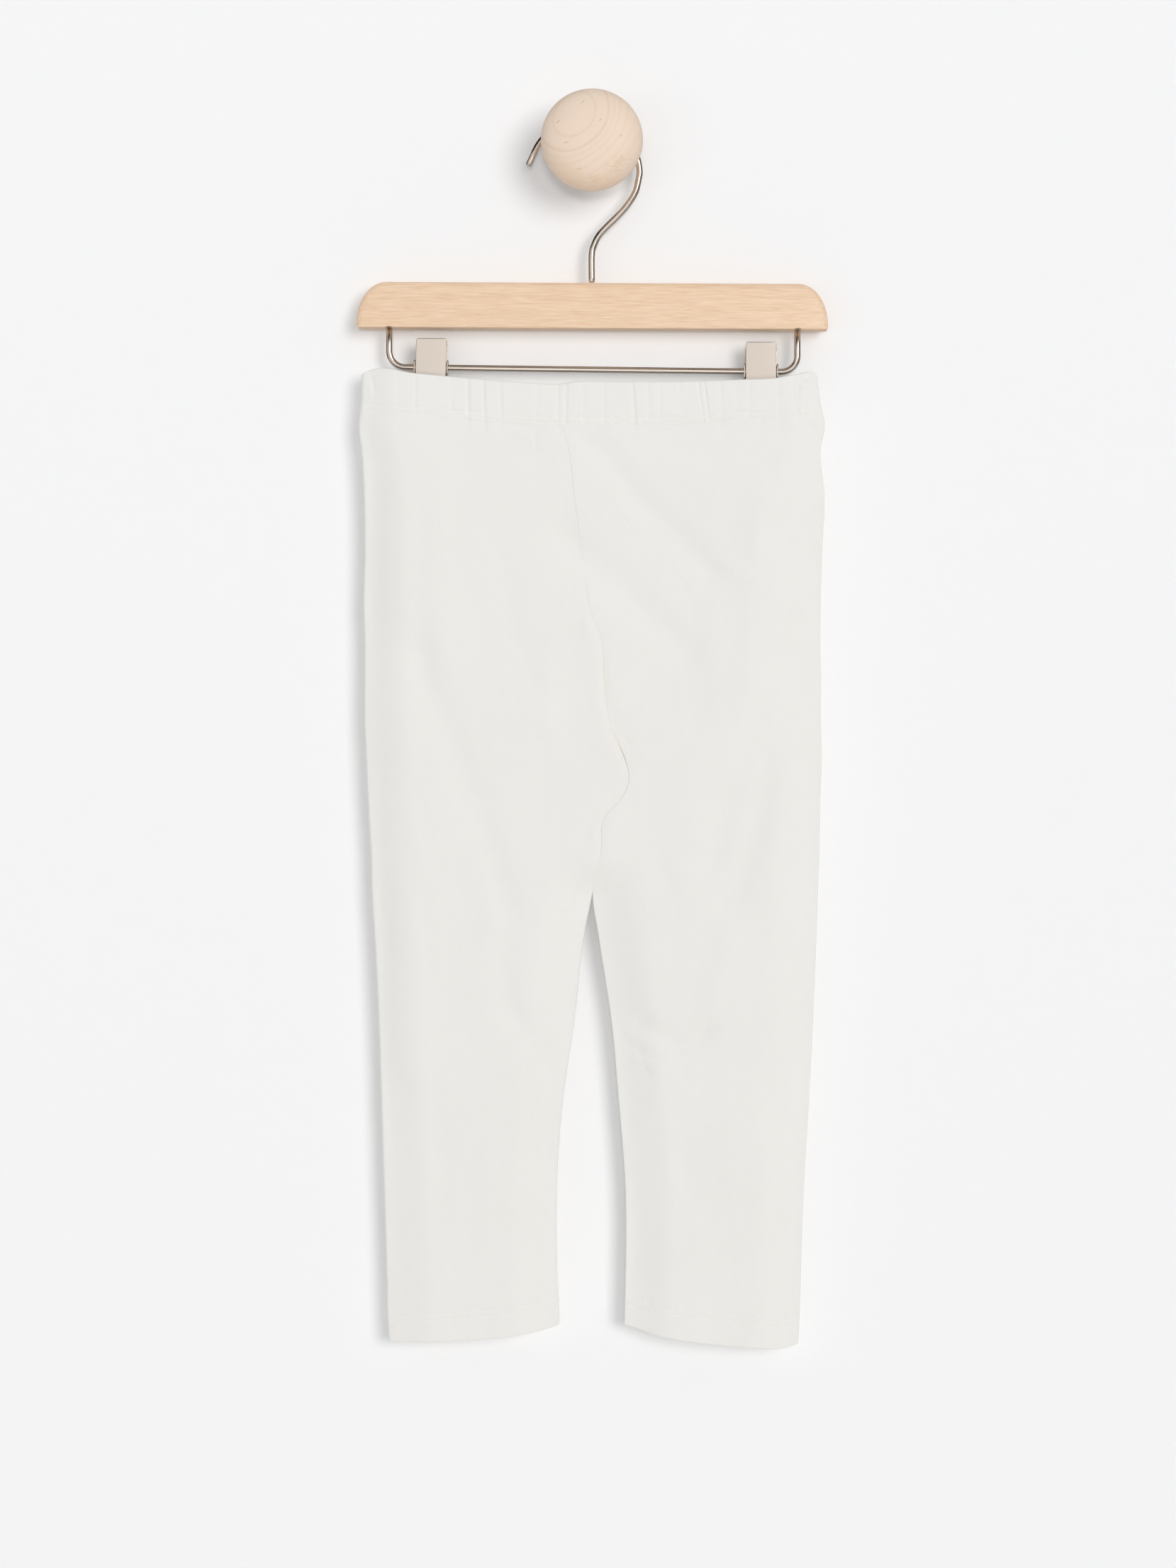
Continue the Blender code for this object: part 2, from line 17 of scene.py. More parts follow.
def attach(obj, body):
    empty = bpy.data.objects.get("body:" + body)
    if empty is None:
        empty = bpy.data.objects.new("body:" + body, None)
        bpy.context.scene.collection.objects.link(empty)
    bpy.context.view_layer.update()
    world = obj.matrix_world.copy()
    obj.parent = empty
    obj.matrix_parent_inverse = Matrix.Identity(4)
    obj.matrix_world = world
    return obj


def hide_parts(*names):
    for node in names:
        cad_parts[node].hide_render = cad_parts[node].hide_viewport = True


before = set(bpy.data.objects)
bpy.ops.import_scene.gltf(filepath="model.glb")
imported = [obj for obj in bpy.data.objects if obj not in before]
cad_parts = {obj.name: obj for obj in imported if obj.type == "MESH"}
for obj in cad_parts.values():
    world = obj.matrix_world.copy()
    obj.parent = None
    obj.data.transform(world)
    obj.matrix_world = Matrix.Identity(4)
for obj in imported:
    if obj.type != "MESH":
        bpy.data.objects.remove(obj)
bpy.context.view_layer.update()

MM = 0.001

# Camera, placed as for the photograph: position, lens and sensor in millimetres.
CAMERA = (-2.4, -2300.0, -393.06)
CAMERA_LENS = 85.0
CAMERA_SENSOR = 36.0
# Height of the stage's floor, in metres.
FLOOR_HEIGHT = -1.45

# Sizes shared with the solids. GAP lies between pieces that meet.
GAP = 0.3
KNOB_RADIUS = 31.2
KNOB_DEPTH = 34.0
STEM_LENGTH = 23.7
STEM_RADIUS = 14.3
HANGER_DEPTH = 13.9
WIRE = 3.8
WIRE_SIDES = 28
BAR_LEFT = -144.9
BAR_RIGHT = 145.6
BAR_TOP = -84.2
BAR_FOOT = -112.3
BAR_HALF_THICKNESS = 6.0
BAR_SHOULDER = 18.0
BAR_SHOULDER_DROP = 25.5
BAR_CORNER = 1.6
BAR_CHAMFER = 3.4
BAR_TILT = 0.005
HOOK_ARC_X = -3.7
HOOK_ARC_Z = -16.3
HOOK_RADIUS = 33.2
HOOK_ARC_END = 156.0
HOOK_OPENING = 1.3
HOOK_TAIL = 9.6
HOOK_NECK = ((-0.1, -83.3), (-0.1, -66.5), (1.2, -60.6), (4.2, -54.5), (9.2, -49.0),
             (15.3, -43.0), (21.3, -36.4), (26.9, -27.4))
ROD_LEFT = -125.1
ROD_RIGHT = 126.9
ROD_Z = -137.2
ROD_TILT = 0.0115
ROD_BEND = 10.0
CLIP_X = (("right", -99.4), ("left", 104.5))
CLIP_HALF_WIDTH = 9.45
CLIP_PLATE = 1.0
CLIP_RISE = 17.8
CLIP_JAW = 6.5
CLIP_DROP = 20.0
CLIP_TOP_SPREAD = 3.3
EAR = 0.9
EAR_RISE = 4.6

# Cloth walls and folds.
JERSEY = 0.8
HEM_WALL = 1.5
CASING = 2.4
EDGE_RADIUS = 1.6
BAND_RADIUS = 2.6
INNER_RADIUS = 1.0
SPREAD = 30.0
BAND_SPREAD = 22.0
HEM_HEIGHT = 17.0
BACK_DROP = 1.5
BAND_LENGTH = 281.6
BAND_MIDDLE = 279.0
CROTCH_TOP = -366.0
CROTCH_END = -388.0
NEEDLE_GAP = 3.35
STITCH_PITCH = 2.05
STITCH_LENGTH = 1.72
STITCH_HALF_WIDTH = 0.27
STITCH_RISE = 0.2

# Outline at each height: outer sides, and the edges that meet at the centre seam above the
# crotch and part below it. half is half the tube's depth, mid its centre.
SECTION_COLUMNS = ("z", "side_right", "inner_right", "inner_left", "side_left", "half", "mid")
SECTIONS = np.array((
    (-138, -141.8, -20, -20, 138, 6.7, 19.3),
    (-160, -142.5, -19, -19, 141.2, 6.7, 19.3),
    (-172.1, -143.8, -18.1, -18.1, 143.5, 6.9, 19.3),
    (-186, -142.2, -14.6, -14.6, 141.1, 7.3, 19.3),
    (-215.7, -140.5, -10.9, -10.9, 143.3, 8, 19.4),
    (-250.7, -140, -5.9, -5.9, 141.9, 8.3, 19.4),
    (-285.6, -140.8, -0.9, -0.9, 140.9, 8.5, 19.4),
    (-303.1, -140.1, 5.7, 5.7, 140.6, 8.5, 19.4),
    (-329.3, -140.1, 7.6, 7.6, 141.1, 8.5, 19.3),
    (-355.5, -140.1, 11.4, 11.4, 141.1, 8.3, 19.2),
    (-381.7, -138.9, 21.4, 21.4, 141.5, 8.2, 19.1),
    (-387.8, -138.7, 22.7, 22.7, 141.3, 8.2, 19.1),
    (-403.5, -138, 17, 17, 140.6, 8, 19),
    (-412.3, -137.6, 8.8, 8.8, 140.6, 8, 19),
    (-434.1, -136.3, 5.5, 5.5, 140.2, 7.9, 18.9),
    (-460.3, -135.6, 0.4, 0.4, 139.3, 7.8, 18.8),
    (-486.5, -134, -4.8, 3.9, 138.4, 7.7, 18.8),
    (-538.9, -131.5, -10.9, 11.8, 136.3, 7.4, 18.6),
    (-591.3, -129.8, -18.3, 16.6, 133.6, 7.2, 18.5),
    (-643.7, -128.2, -21.8, 20.5, 130.6, 6.9, 18.4),
    (-696.2, -126.6, -21.4, 20.5, 128.8, 6.7, 18.3),
    (-722.4, -126, -20.1, 19.9, 128, 6.5, 18.3),
    (-742, -124.6, -19.7, 19.7, 126.9, 6.4, 18.3),
))

# Top edge of the waistband and the foot of its casing.
BAND_COLUMNS = ("x", "top", "bottom")
BAND = np.array((
    (-143, -141, -163.8), (-137, -138.4, -164), (-109, -140.5, -165.4),
    (-76, -143.6, -168.9), (-42, -146.2, -171.5), (-17, -146.8, -172.3),
    (-11, -145.8, -172.3), (11, -145.8, -172.2), (60, -145.5, -171.8),
    (93, -144.4, -169.1), (114, -143.3, -168.2), (127, -140.8, -167.6),
    (135, -139.3, -167), (143, -142.5, -166.7),
))

# Lower edge of each hem.
HEM = np.array((
    (-122, -736.8), (-102.4, -736.3), (-70.6, -734.7), (-45.8, -732.1), (-28.3, -728.6),
    (-20.1, -726.1), (19.6, -726.1), (39.9, -732.2), (73.2, -737.6), (98.1, -739.7),
    (121.6, -740.1), (127.5, -738.2),
))

# Upper row of the waistband's twin needle: x, z.
BAND_STITCHES = np.array((
    (-143, -159.4), (-135.9, -159.7), (-98.8, -162.1), (-73.2, -164.5), (-47.5, -166.6),
    (-20.9, -167.5), (60.5, -167.3), (96.2, -164.5), (125.4, -163.2), (143, -162),
))
# Upper and lower rows of each hem's twin needle: x, height above the hem's lower edge.
HEM_STITCHES = {
    -1: np.array(((-122, 16.6, 13.1), (-72.3, 18.4, 14.5), (-19, 17.2, 13))),
    1: np.array(((19, 16.4, 12.7), (49.7, 19.3, 15.6), (77.5, 20.2, 16.3),
                 (99.3, 19.1, 15.4), (128, 17, 12.9))),
}

# Gathers of the waistband: x at half height, depth, lean (how far the foot lies to the right
# of the top), width, and below (how far the gather runs on below the casing).
FRONT_GATHERS = np.array((
    (-119.4, 0.35, 0, 1.6, 1), (-108.5, 0.55, 0, 1.1, 3), (-86.3, 0.4, 0.2, 1.5, 2),
    (-76.3, 1.3, 0.3, 1.2, 7), (-66.6, 1.15, 0.9, 1.2, 9), (-56.2, 0.8, 1.2, 1.3, 5),
    (-33.5, 0.4, 0, 1.6, 3), (-21, 0.8, -0.2, 1, 6), (-16.1, 1, -0.4, 1, 9),
    (-5.2, 0.5, 0, 1.4, 3), (7.4, 0.45, 0.3, 1.5, 2), (25.5, 1.2, 1.8, 1.2, 8),
    (34.8, 0.5, 0.5, 1.4, 3), (41.8, 0.45, 0, 1.5, 2), (54.2, 0.6, 0.8, 1.1, -8),
    (67, 0.9, 3.6, 1, 3), (70.3, 1.1, 3.2, 1, 8), (79.5, 0.5, 1.2, 1.4, 5),
    (88.7, 0.4, 0, 1.5, 2), (96.7, 0.5, -0.4, 1.3, 4), (114.8, 0.4, 0, 1.5, 3),
    (126.7, 1.2, -0.4, 1.2, 5),
))
BACK_GATHERS = np.array((
    (-127, 0.7, 0.4, 1.3, 3), (-112, 0.45, 0, 1.5, 2), (-81, 0.9, -0.6, 1.2, 6),
    (-69, 0.6, 0.3, 1.4, 3), (-55, 1.1, 0.8, 1.2, 8), (-44, 0.6, 0, 1.4, 3),
    (-31, 0.9, -0.5, 1.2, 5), (-19, 1.1, 0, 1.1, 9), (-6, 0.7, 0.4, 1.3, 4),
    (9, 0.9, 0.9, 1.2, 6), (21, 0.6, 0, 1.4, 2), (36, 1.1, -0.7, 1.2, 7),
    (47, 0.6, 0.3, 1.4, 3), (61, 0.9, 0.5, 1.2, 6), (75, 0.7, 0, 1.3, 4),
    (84, 0.8, -0.4, 1.2, 3), (123, 0.9, 0.6, 1.2, 5),
))

# Largest folds, as in the solids: x1, z1, x2, z2, x3, z3, width, rise.
FRONT_FOLDS = np.array((
    (-3.5, -176, 30, -220, 71.8, -260.3, 9, -1.9),
    (-19.2, -240.2, 20, -274, 56.2, -311.6, 10, -1.9),
    (103.6, -220.6, 97, -300, 87.9, -387, 14, 1.8),
    (123.6, -315.6, 108, -390, 87.9, -466.6, 10, -2.2),
    (121.9, -294.7, 96, -365, 73.1, -440.5, 9, -1.6),
    (30.5, -541.5, 54, -553.3, 69.2, -547.2, 7, -1.7),
    (-105.4, -314.3, -76, -398, -53.1, -469.7, 10, -2.1),
    (-54.5, -492, -52, -528, -25.7, -566.8, 9, -2),
    (-121.9, -216.3, -121, -390, -115.4, -564.6, 11, 1.1),
))
BACK_FOLDS = np.array((
    (-70, -190, -42, -250, -8, -300, 12, -1.8),
    (75, -185, 54, -262, 24, -330, 12, -2),
    (-20, -350, -52, -398, -90, -430, 10, -1.8),
    (50, -380, 74, -426, 105, -455, 10, -1.8),
    (-60, -500, -82, -568, -95, -640, 12, 1.5),
    (60, -520, 75, -560, 98, -590, 9, -1.7),
    (108, -230, 116, -350, 116, -480, 13, 1.3),
    (-40, -600, -58, -645, -70, -690, 9, -1.5),
))

# Smaller creases: rise, width, then points x, z.
FRONT_CREASES = (
    (-1.2, 20, (-22, -196), (8, -240), (46, -286), (70, -330)),
    (0.55, 8, (76.2, -279.9), (76.2, -351.3), (56.2, -407)),
    (0.45, 5, (103.6, -224.6), (101, -240), (99.7, -256.3)),
    (0.7, 8, (95.8, -446.6), (71.8, -534.1), (60.1, -549.8)),
    (-0.5, 7, (107.5, -558), (108.5, -590), (107.5, -621)),
    (-0.6, 8, (-31.4, -560), (-33, -600), (-31.4, -645)),
    (-0.35, 4, (-67, -363.5), (-43, -367.5), (-19.2, -367.4)),
    (-0.6, 9, (-50, -184), (-36, -189), (-21, -193)),
    (0.6, 9, (-94.5, -188.8), (-94.5, -280), (-93, -367.4)),
    (0.6, 9, (-78.8, -367.4), (-58.8, -486.2), (-31.4, -557.6)),
    (-0.75, 3.4, (14, -540), (24, -555), (36.1, -560.5), (50, -556.5),
     (64, -549.8), (84, -526.3)),
    (0.45, 3.6, (20, -548), (36, -566.5), (54, -562)),
    (-0.45, 2.6, (26.6, -551.1), (31, -563), (36.6, -576.4)),
    (-0.4, 3, (26, -466), (28.3, -470.6), (32, -477)),
    (-0.9, 2.6, (15.7, -400.9), (7, -411.8), (-3.5, -421.4), (-12, -428)),
    (0.5, 6, (70, -250), (96, -268), (118, -276)),
    (-0.35, 6, (-20, -215), (8, -238), (34, -262)),
    (0.4, 7, (40, -182), (64, -206), (90, -228)),
    (-0.4, 8, (-60, -230), (-50, -290), (-30, -345)),
    (0.35, 6, (-24, -300), (-30, -340), (-18, -384)),
    (-0.35, 7, (-100, -560), (-92, -620), (-96, -690)),
    (0.35, 8, (-66, -590), (-62, -640), (-70, -704)),
    (-0.3, 7, (56, -600), (60, -650), (50, -702)),
    (0.35, 9, (84, -585), (84, -640), (90, -700)),
    (-0.35, 6, (40, -430), (52, -470), (46, -510)),
    (0.3, 5, (120, -500), (118, -545), (124, -600)),
    (-0.3, 5, (-116, -420), (-104, -470), (-100, -520)),
)
# Short creases across the waistband's corners, on the front: the same columns.
BAND_CREASES = (
    (-0.45, 1.1, (127.4, -141.4), (130.6, -146.4), (133.4, -152.6)),
    (0.5, 1.5, (124.6, -141.6), (128.2, -147.6), (131, -154.4)),
    (-0.4, 1, (130.2, -140.4), (134.6, -143.2), (138.2, -148.6)),
    (0.35, 1.3, (133.2, -145.4), (136.4, -149.8), (138.4, -156.4)),
    (-0.35, 1, (-136.6, -141.4), (-134.2, -146.2), (-133.6, -153)),
    (0.3, 1.4, (-138.4, -146), (-137.2, -151), (-137.6, -157)),
)
# Creases of the back, as on the front.
BACK_CREASES = (
    (-0.5, 7, (-100, -200), (-88, -250), (-92, -310)),
    (0.55, 9, (100, -190), (92, -250), (90, -320)),
    (-0.45, 6, (0, -185), (16, -215), (22, -252)),
    (0.45, 6, (-48, -300), (-30, -330), (-8, -352)),
    (-0.7, 3.4, (30, -392), (44, -402), (60, -404), (78, -396)),
    (-0.6, 3.4, (14, -398), (0, -408), (-22, -412)),
    (0.5, 8, (-110, -360), (-104, -430), (-108, -500)),
    (-0.45, 7, (-30, -470), (-44, -520), (-36, -580)),
    (0.4, 7, (40, -440), (50, -490), (44, -550)),
    (-0.4, 7, (112, -560), (104, -620), (108, -690)),
    (0.35, 8, (-104, -620), (-98, -660), (-102, -712)),
    (-0.6, 3.6, (40, -600), (56, -612), (74, -606)),
)

# Lumps where the cloth puffs out or sinks: x, z, width, height, rise.
FRONT_LUMPS = np.array((
    (134, -142.5, 3.2, 2.2, 0.5), (132.5, -146.4, 4.5, 1, -0.5), (140, -170.5, 2.5, 2.5, 0.5),
    (136, -173.4, 3.5, 1.2, -0.5), (-13, -147.5, 4.5, 2, 0.35),
    (-43, -173, 7, 1.6, -0.35), (-44, -178.6, 6, 2.2, 0.35),
    (-34.5, -181, 1.6, 6, -0.4), (-20.4, -175.5, 2.2, 3.5, -0.3), (79.5, -173.2, 1.8, 3.4, -0.4),
    (104.3, -171.8, 1.8, 3.4, -0.35), (115, -170.5, 1.8, 3.4, -0.3),
    (-74, -171.5, 2.2, 4.5, 0.35), (-61.5, -173, 2.4, 5, 0.35), (28.6, -176, 2.4, 5, 0.3),
    (10.5, -176, 5, 3, 0.25), (56, -175.5, 4, 3, 0.25),
    (-112, -171, 5, 3, 0.25), (122, -171.5, 3, 3.5, 0.3),
    (-3, -294, 3.2, 9, 0.5),
))
# How much deeper creases and lumps are than their tables say.
CREASE_GAIN = 1.5

# Growth rings of the knob: radius about the wood's own centre, strength. Reach is in metres.
KNOB_REACH = 0.055
KNOB_RINGS = ((14.3, 0.7), (21.6, 1), (24.8, 0.3), (28, 0.4), (32.2, 0.4), (37, 0.35),
              (42, 0.3))
# Small marks: x, z, half length, half width, turn in degrees.
KNOB_MARKS = ((-5.6, 20.6, 2.2, 0.5, 48), (-20.7, 8.6, 2, 0.55, 40),
              (-15.5, -4.3, 2.6, 0.5, 12), (5.1, 9.4, 1.9, 0.5, 42),
              (17.6, 0, 1.9, 0.45, 44), (-7.8, -19.8, 2.1, 0.45, 14))
KNOB_FLECKS = ((15.5, -17, 13, 8, 38), (2, -26, 12, 4.5, 0))
# Painted shade: warmer, darker ovals along the knob's lower left rim, where the light falls off;
# columns as for the marks.
KNOB_RIM_SHADE = ((-14, -22, 22, 9, -34), (6, -27, 16, 6, 10))
BAR_MARKS = ((-135.1, -99.8, 4.5, 0.45, 0), (-113.5, -99.9, 4, 0.55, 4),
             (59.3, -101, 5, 0.5, 3), (113.7, -100.5, 4.5, 0.4, 0))
# Painted shade: a warm, darker colour in the fold beside the crotch seam, for light bounced within
# the fold: x, z, half length, half width, turn.
SEAM_PAINTED_SHADE = ((9.6, -330, 22, 2.6, -86), (15.5, -368, 22, 3.4, -64))
# Painted shade: near-black ovals where the rod enters the bar's underside, standing in for the
# shaded insides of its holes.
ROD_HOLE_SHADE = ((-125.1, -111.5, 3, 0.8, 0), (126.9, -112.7, 3, 0.8, 0))


def through(table, column, at):
    """Smooth curve through one column of a table, read at values of its first column."""
    order = np.argsort(table[:, 0])
    xs = table[order, 0]
    ys = table[order, column]
    slopes = np.gradient(ys, xs)
    at = np.clip(at, xs[0], xs[-1])
    i = np.clip(np.searchsorted(xs, at) - 1, 0, len(xs) - 2)
    width = xs[i + 1] - xs[i]
    s = (at - xs[i]) / width
    return (ys[i] * (1 + 2 * s) * (1 - s) ** 2 + slopes[i] * width * s * (1 - s) ** 2
            + ys[i + 1] * s * s * (3 - 2 * s) + slopes[i + 1] * width * s * s * (s - 1))


def section(name, z):
    return through(SECTIONS, SECTION_COLUMNS.index(name), z)


def side_edges(side, z):
    """Outer and inner edges of one side of the cloth."""
    name = "right" if side < 0 else "left"
    return section(f"side_{name}", z), section(f"inner_{name}", z)


def band_edge(name, x):
    return through(BAND, BAND_COLUMNS.index(name), x)


def ease(s):
    s = np.clip(s, 0.0, 1.0)
    return s * s * (3 - 2 * s)


def rounding(e, radius):
    """Height of a fold of one radius at a distance e from its edge."""
    return radius * np.sqrt(1 - (1 - np.clip(e / radius, 0.0, 1.0)) ** 2)


def edge_height(e, half, spread, radius):
    """Half depth of a flattened tube at a distance e from one of its side folds."""
    return rounding(e, radius) + (half - radius) * ease(e / spread)


def along(x, z, points):
    """Distance from each point to a chain, and how far along the chain it lies, from 0 to 1."""
    best = np.full(np.shape(x), 1e9)
    place = np.zeros(np.shape(x))
    lengths = [math.dist(a, b) for a, b in zip(points, points[1:])]
    done = 0.0
    for (x1, z1), (x2, z2), length in zip(points, points[1:], lengths):
        t = ((x - x1) * (x2 - x1) + (z - z1) * (z2 - z1)) / length ** 2
        near = np.clip(t, 0.0, 1.0)
        off = np.hypot(x - x1 - near * (x2 - x1), z - z1 - near * (z2 - z1))
        closer = off < best
        best = np.where(closer, off, best)
        place = np.where(closer, (done + near * length) / sum(lengths), place)
        done += length
    return best, place


def folds(table, x, z):
    """Sum of the large folds of a table."""
    total = np.zeros(np.shape(x))
    for x1, z1, x2, z2, x3, z3, width, rise in table:
        off, _ = along(x, z, ((x1, z1), (x2, z2), (x3, z3)))
        total += rise * np.exp(-((off / width) ** 2))
    return total


def creases(table, x, z):
    """Sum of the small creases of a table, which fade out at both ends."""
    total = np.zeros(np.shape(x))
    for rise, width, *points in table:
        off, place = along(x, z, points)
        fade = 0.25 + 0.75 * ease(place / 0.3) * ease((1 - place) / 0.3)
        total += CREASE_GAIN * rise * fade * np.exp(-((off / width) ** 2))
    return total


def undulation(x, z, seed, count, shortest, longest, height):
    """Gentle unevenness: a sum of long waves, most of them running down the cloth."""
    random = np.random.default_rng(seed)
    total = np.zeros(np.shape(x))
    for _ in range(count):
        wave = random.uniform(shortest, longest)
        lean = random.normal(0.0, 0.5)
        phase = random.uniform(0.0, 2 * math.pi)
        turn = 2 * math.pi / wave
        total += np.sin(turn * (math.cos(lean) * x + math.sin(lean) * z) + phase)
    return height * total / math.sqrt(count)


def crotch(z):
    """0 where the two panels are joined at the centre, 1 where each leg is a tube of its own."""
    return ease((CROTCH_TOP - z) / (CROTCH_TOP - CROTCH_END))


def band_stitch_dip(x, z, layer):
    """Depth of the two grooves along the waistband's stitched rows."""
    upper = through(BAND_STITCHES, 1, x) - (BACK_DROP if layer < 0 else 0.0)
    lower = upper - NEEDLE_GAP
    return 0.2 * (np.exp(-((z - upper) / 0.8) ** 2) + np.exp(-((z - lower) / 0.8) ** 2))


def gathers(table, x, z, layer):
    """Depth of the waistband's gathers, which run on a little way below the casing."""
    drop = BACK_DROP if layer < 0 else 0.0
    top = band_edge("top", x) - drop
    foot = band_edge("bottom", x)
    up = (z - foot) / (top - foot)
    total = np.zeros(np.shape(x))
    for centre, depth, lean, width, below in table:
        off = x - centre - lean * (0.5 - up)
        spread = width * (1 + 0.25 * np.clip(-up, 0, 1.5))
        end = ease((z - foot + below) / max(abs(below), 4.0) + (0.0 if below > 0 else -1.0))
        swell = 0.5 + 0.7 * np.clip(up, 0, 1) * (1.4 - np.clip(up, 0, 1))
        total += depth * swell * end * (np.exp(-((off / spread) ** 2))
                                        - 0.22 * np.exp(-((off / (3.2 * spread)) ** 2)))
    return total


def lumps(table, x, z):
    total = np.zeros(np.shape(x))
    for cx, cz, width, height, rise in table:
        off = ((x - cx) / width) ** 2
        total += CREASE_GAIN * rise * np.exp(-off - ((z - cz) / height) ** 2)
    return total


def relief(x, z, layer):
    """Everything that the cloth's face does beyond its main form and largest folds."""
    foot = band_edge("bottom", x)
    below = ease((foot - z - 2.0) / 26.0)
    if layer > 0:
        total = creases(FRONT_CREASES, x, z) * below + creases(BAND_CREASES, x, z)
        total += lumps(FRONT_LUMPS, x, z)
        total -= gathers(FRONT_GATHERS, x, z, layer)
    else:
        total = creases(BACK_CREASES, x, z) * below
        total -= gathers(BACK_GATHERS, x, z, layer)
    seed = 10 if layer > 0 else 20
    total += undulation(x, z, seed + 1, 9, 46.0, 150.0, 0.4) * below
    total += undulation(x, z, seed + 2, 14, 9.0, 26.0, 0.035)
    return total - band_stitch_dip(x, z, layer)


def seam(side, from_inner, z, layer):
    """The centre seam: a fine groove, and at the front the right panel bulging over the left."""
    joined = 1 - crotch(z)
    groove = 0.09 * np.exp(-((from_inner / 1.1) ** 2)) * joined
    if layer < 0:
        return -groove
    bulge = ease((-262.0 - z) / 40.0) * ease((z + 404.0) / 26.0)
    wedge = ease((-318.0 - z) / 60.0) * joined
    if side < 0:
        width = np.where(from_inner < 4.0, 3.2, 10.0)
        rise = 0.9 * bulge * np.exp(-(((from_inner - 4.0) / width) ** 2))
        return rise - groove - 0.3 * bulge * np.exp(-((from_inner / 1.3) ** 2))
    dip = (0.55 * bulge + 1.1 * wedge) * np.exp(-((from_inner / (3.0 + 6.0 * wedge)) ** 2))
    return -groove - dip


def body(side, x, z, layer, detail):
    """Depth from the wall of the outer face of one leg's side of the cloth."""
    outer, inner = side_edges(side, z)
    apart = crotch(z)
    from_outer = np.maximum(side * (outer - x), 0.0)
    from_inner = np.maximum(side * (x - inner), 0.0)
    half = section("half", z)
    foot = band_edge("bottom", x)
    spread = BAND_SPREAD + (SPREAD - BAND_SPREAD) * ease((foot - z) / 70.0)
    radius = BAND_RADIUS + (EDGE_RADIUS - BAND_RADIUS) * ease((foot - z) / 14.0)
    height = edge_height(from_outer, half, spread, radius)
    inner_height = edge_height(from_inner, half, SPREAD, INNER_RADIUS) / half
    pressed = ease((z + 464.0) / 26.0)
    inner_height += pressed * (0.975 + 0.025 * rounding(from_inner, INNER_RADIUS) / INNER_RADIUS
                               - inner_height)
    height = height * (1 - apart + apart * inner_height)
    table = FRONT_FOLDS if layer > 0 else BACK_FOLDS
    below = ease((foot - z) / 16.0)
    fade = ease(from_outer / 14) * (1 - apart + apart * ease(from_inner / 14)) * below
    height = height + folds(table, x, z) * fade
    if detail:
        fade = ease((from_outer - 1.0) / 6) * (1 - apart + apart * ease(from_inner / 5))
        height = height + relief(x, z, layer) * fade + seam(side, from_inner, z, layer)
    return section("mid", z) + layer * height


def depths(side, layers, x, z):
    """Depths of the plain form and of the full face at points of either side and layer."""
    plain = np.empty_like(x)
    full = np.empty_like(x)
    for s in (-1, 1):
        for layer in (1, -1):
            pick = (layers == layer) & (side == s)
            if pick.any():
                plain[pick] = body(s, x[pick], z[pick], layer, False)
                full[pick] = body(s, x[pick], z[pick], layer, True)
    return plain, full


def hem_relief(side, x, z, layer):
    """Turned-up hem: the doubled cloth stands proud, with a groove along each stitched row."""
    edge = through(HEM, 1, x)
    rows = HEM_STITCHES[side]
    above = z - edge
    proud = 0.3 * ease((through(rows, 1, x) + 1.6 - above) / 1.6)
    dip = 0.0
    for column in (1, 2):
        dip = dip + 0.2 * np.exp(-(((above - through(rows, column, x)) / 0.9) ** 2))
    ripple = undulation(x, z * 0.25, 31 + side + layer, 8, 7.0, 19.0, 0.06)
    near = ease((24.0 - above) / 8.0)
    return (proud - dip + ripple) * near


def add_object(name, data):
    made = bpy.data.objects.new(name, data)
    bpy.context.scene.collection.objects.link(made)
    return made


def mesh_of(name, points, faces, finish, sharp=50.0):
    """A smooth-shaded piece on body root, from points in millimetres."""
    mesh = bpy.data.meshes.new(name)
    mesh.from_pydata((np.asarray(points, float).reshape(-1, 3) * MM).tolist(), [], faces)
    shape = bmesh.new()
    shape.from_mesh(mesh)
    bmesh.ops.recalc_face_normals(shape, faces=shape.faces)
    shape.to_mesh(mesh)
    shape.free()
    mesh.shade_smooth()
    mesh.set_sharp_from_angle(angle=math.radians(sharp))
    mesh.materials.append(finish)
    made = add_object(name, mesh)
    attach(made, "root")
    return made


def unit(vectors):
    return vectors / np.maximum(np.linalg.norm(vectors, axis=-1, keepdims=True), 1e-9)


def shell(name, outer, base, wall, inset, wrapped, finish):
    """A closed sheet: its outer face, and an inner face a wall's thickness inside the base."""
    if wrapped:
        across = np.roll(base, -1, axis=1) - np.roll(base, 1, axis=1)
    else:
        across = np.gradient(base, axis=1)
    normals = unit(np.cross(across, np.gradient(base, axis=0)))
    middle = base.mean(axis=1, keepdims=True)
    if (normals * (base - middle)).sum() < 0:
        normals = -normals
    outside = outer - normals * inset[:, None, None]
    inside = base - normals * wall[:, None, None]
    rows, columns = base.shape[:2]
    points = np.concatenate([outside.reshape(-1, 3), inside.reshape(-1, 3)])
    faces = []
    last = columns if wrapped else columns - 1
    second = rows * columns
    for r in range(rows - 1):
        for c in range(last):
            d = (c + 1) % columns
            a, b = r * columns, (r + 1) * columns
            faces.append((a + c, a + d, b + d, b + c))
            faces.append((second + a + d, second + a + c, second + b + c, second + b + d))
    for c in range(last):
        d = (c + 1) % columns
        a = (rows - 1) * columns
        faces.append((d, c, second + c, second + d))
        faces.append((a + c, a + d, second + a + d, second + a + c))
    if not wrapped:
        for r in range(rows - 1):
            a, b = r * columns, (r + 1) * columns
            faces.append((a, b, second + b, second + a))
            a, b = a + columns - 1, b + columns - 1
            faces.append((b, a, second + a, second + b))
    return mesh_of(name, points, faces, finish)


def turning(steps, radius):
    """Distances from an edge that step evenly round its fold."""
    return [radius * (1 - math.cos(math.pi / 2 * i / steps)) for i in range(steps + 1)]


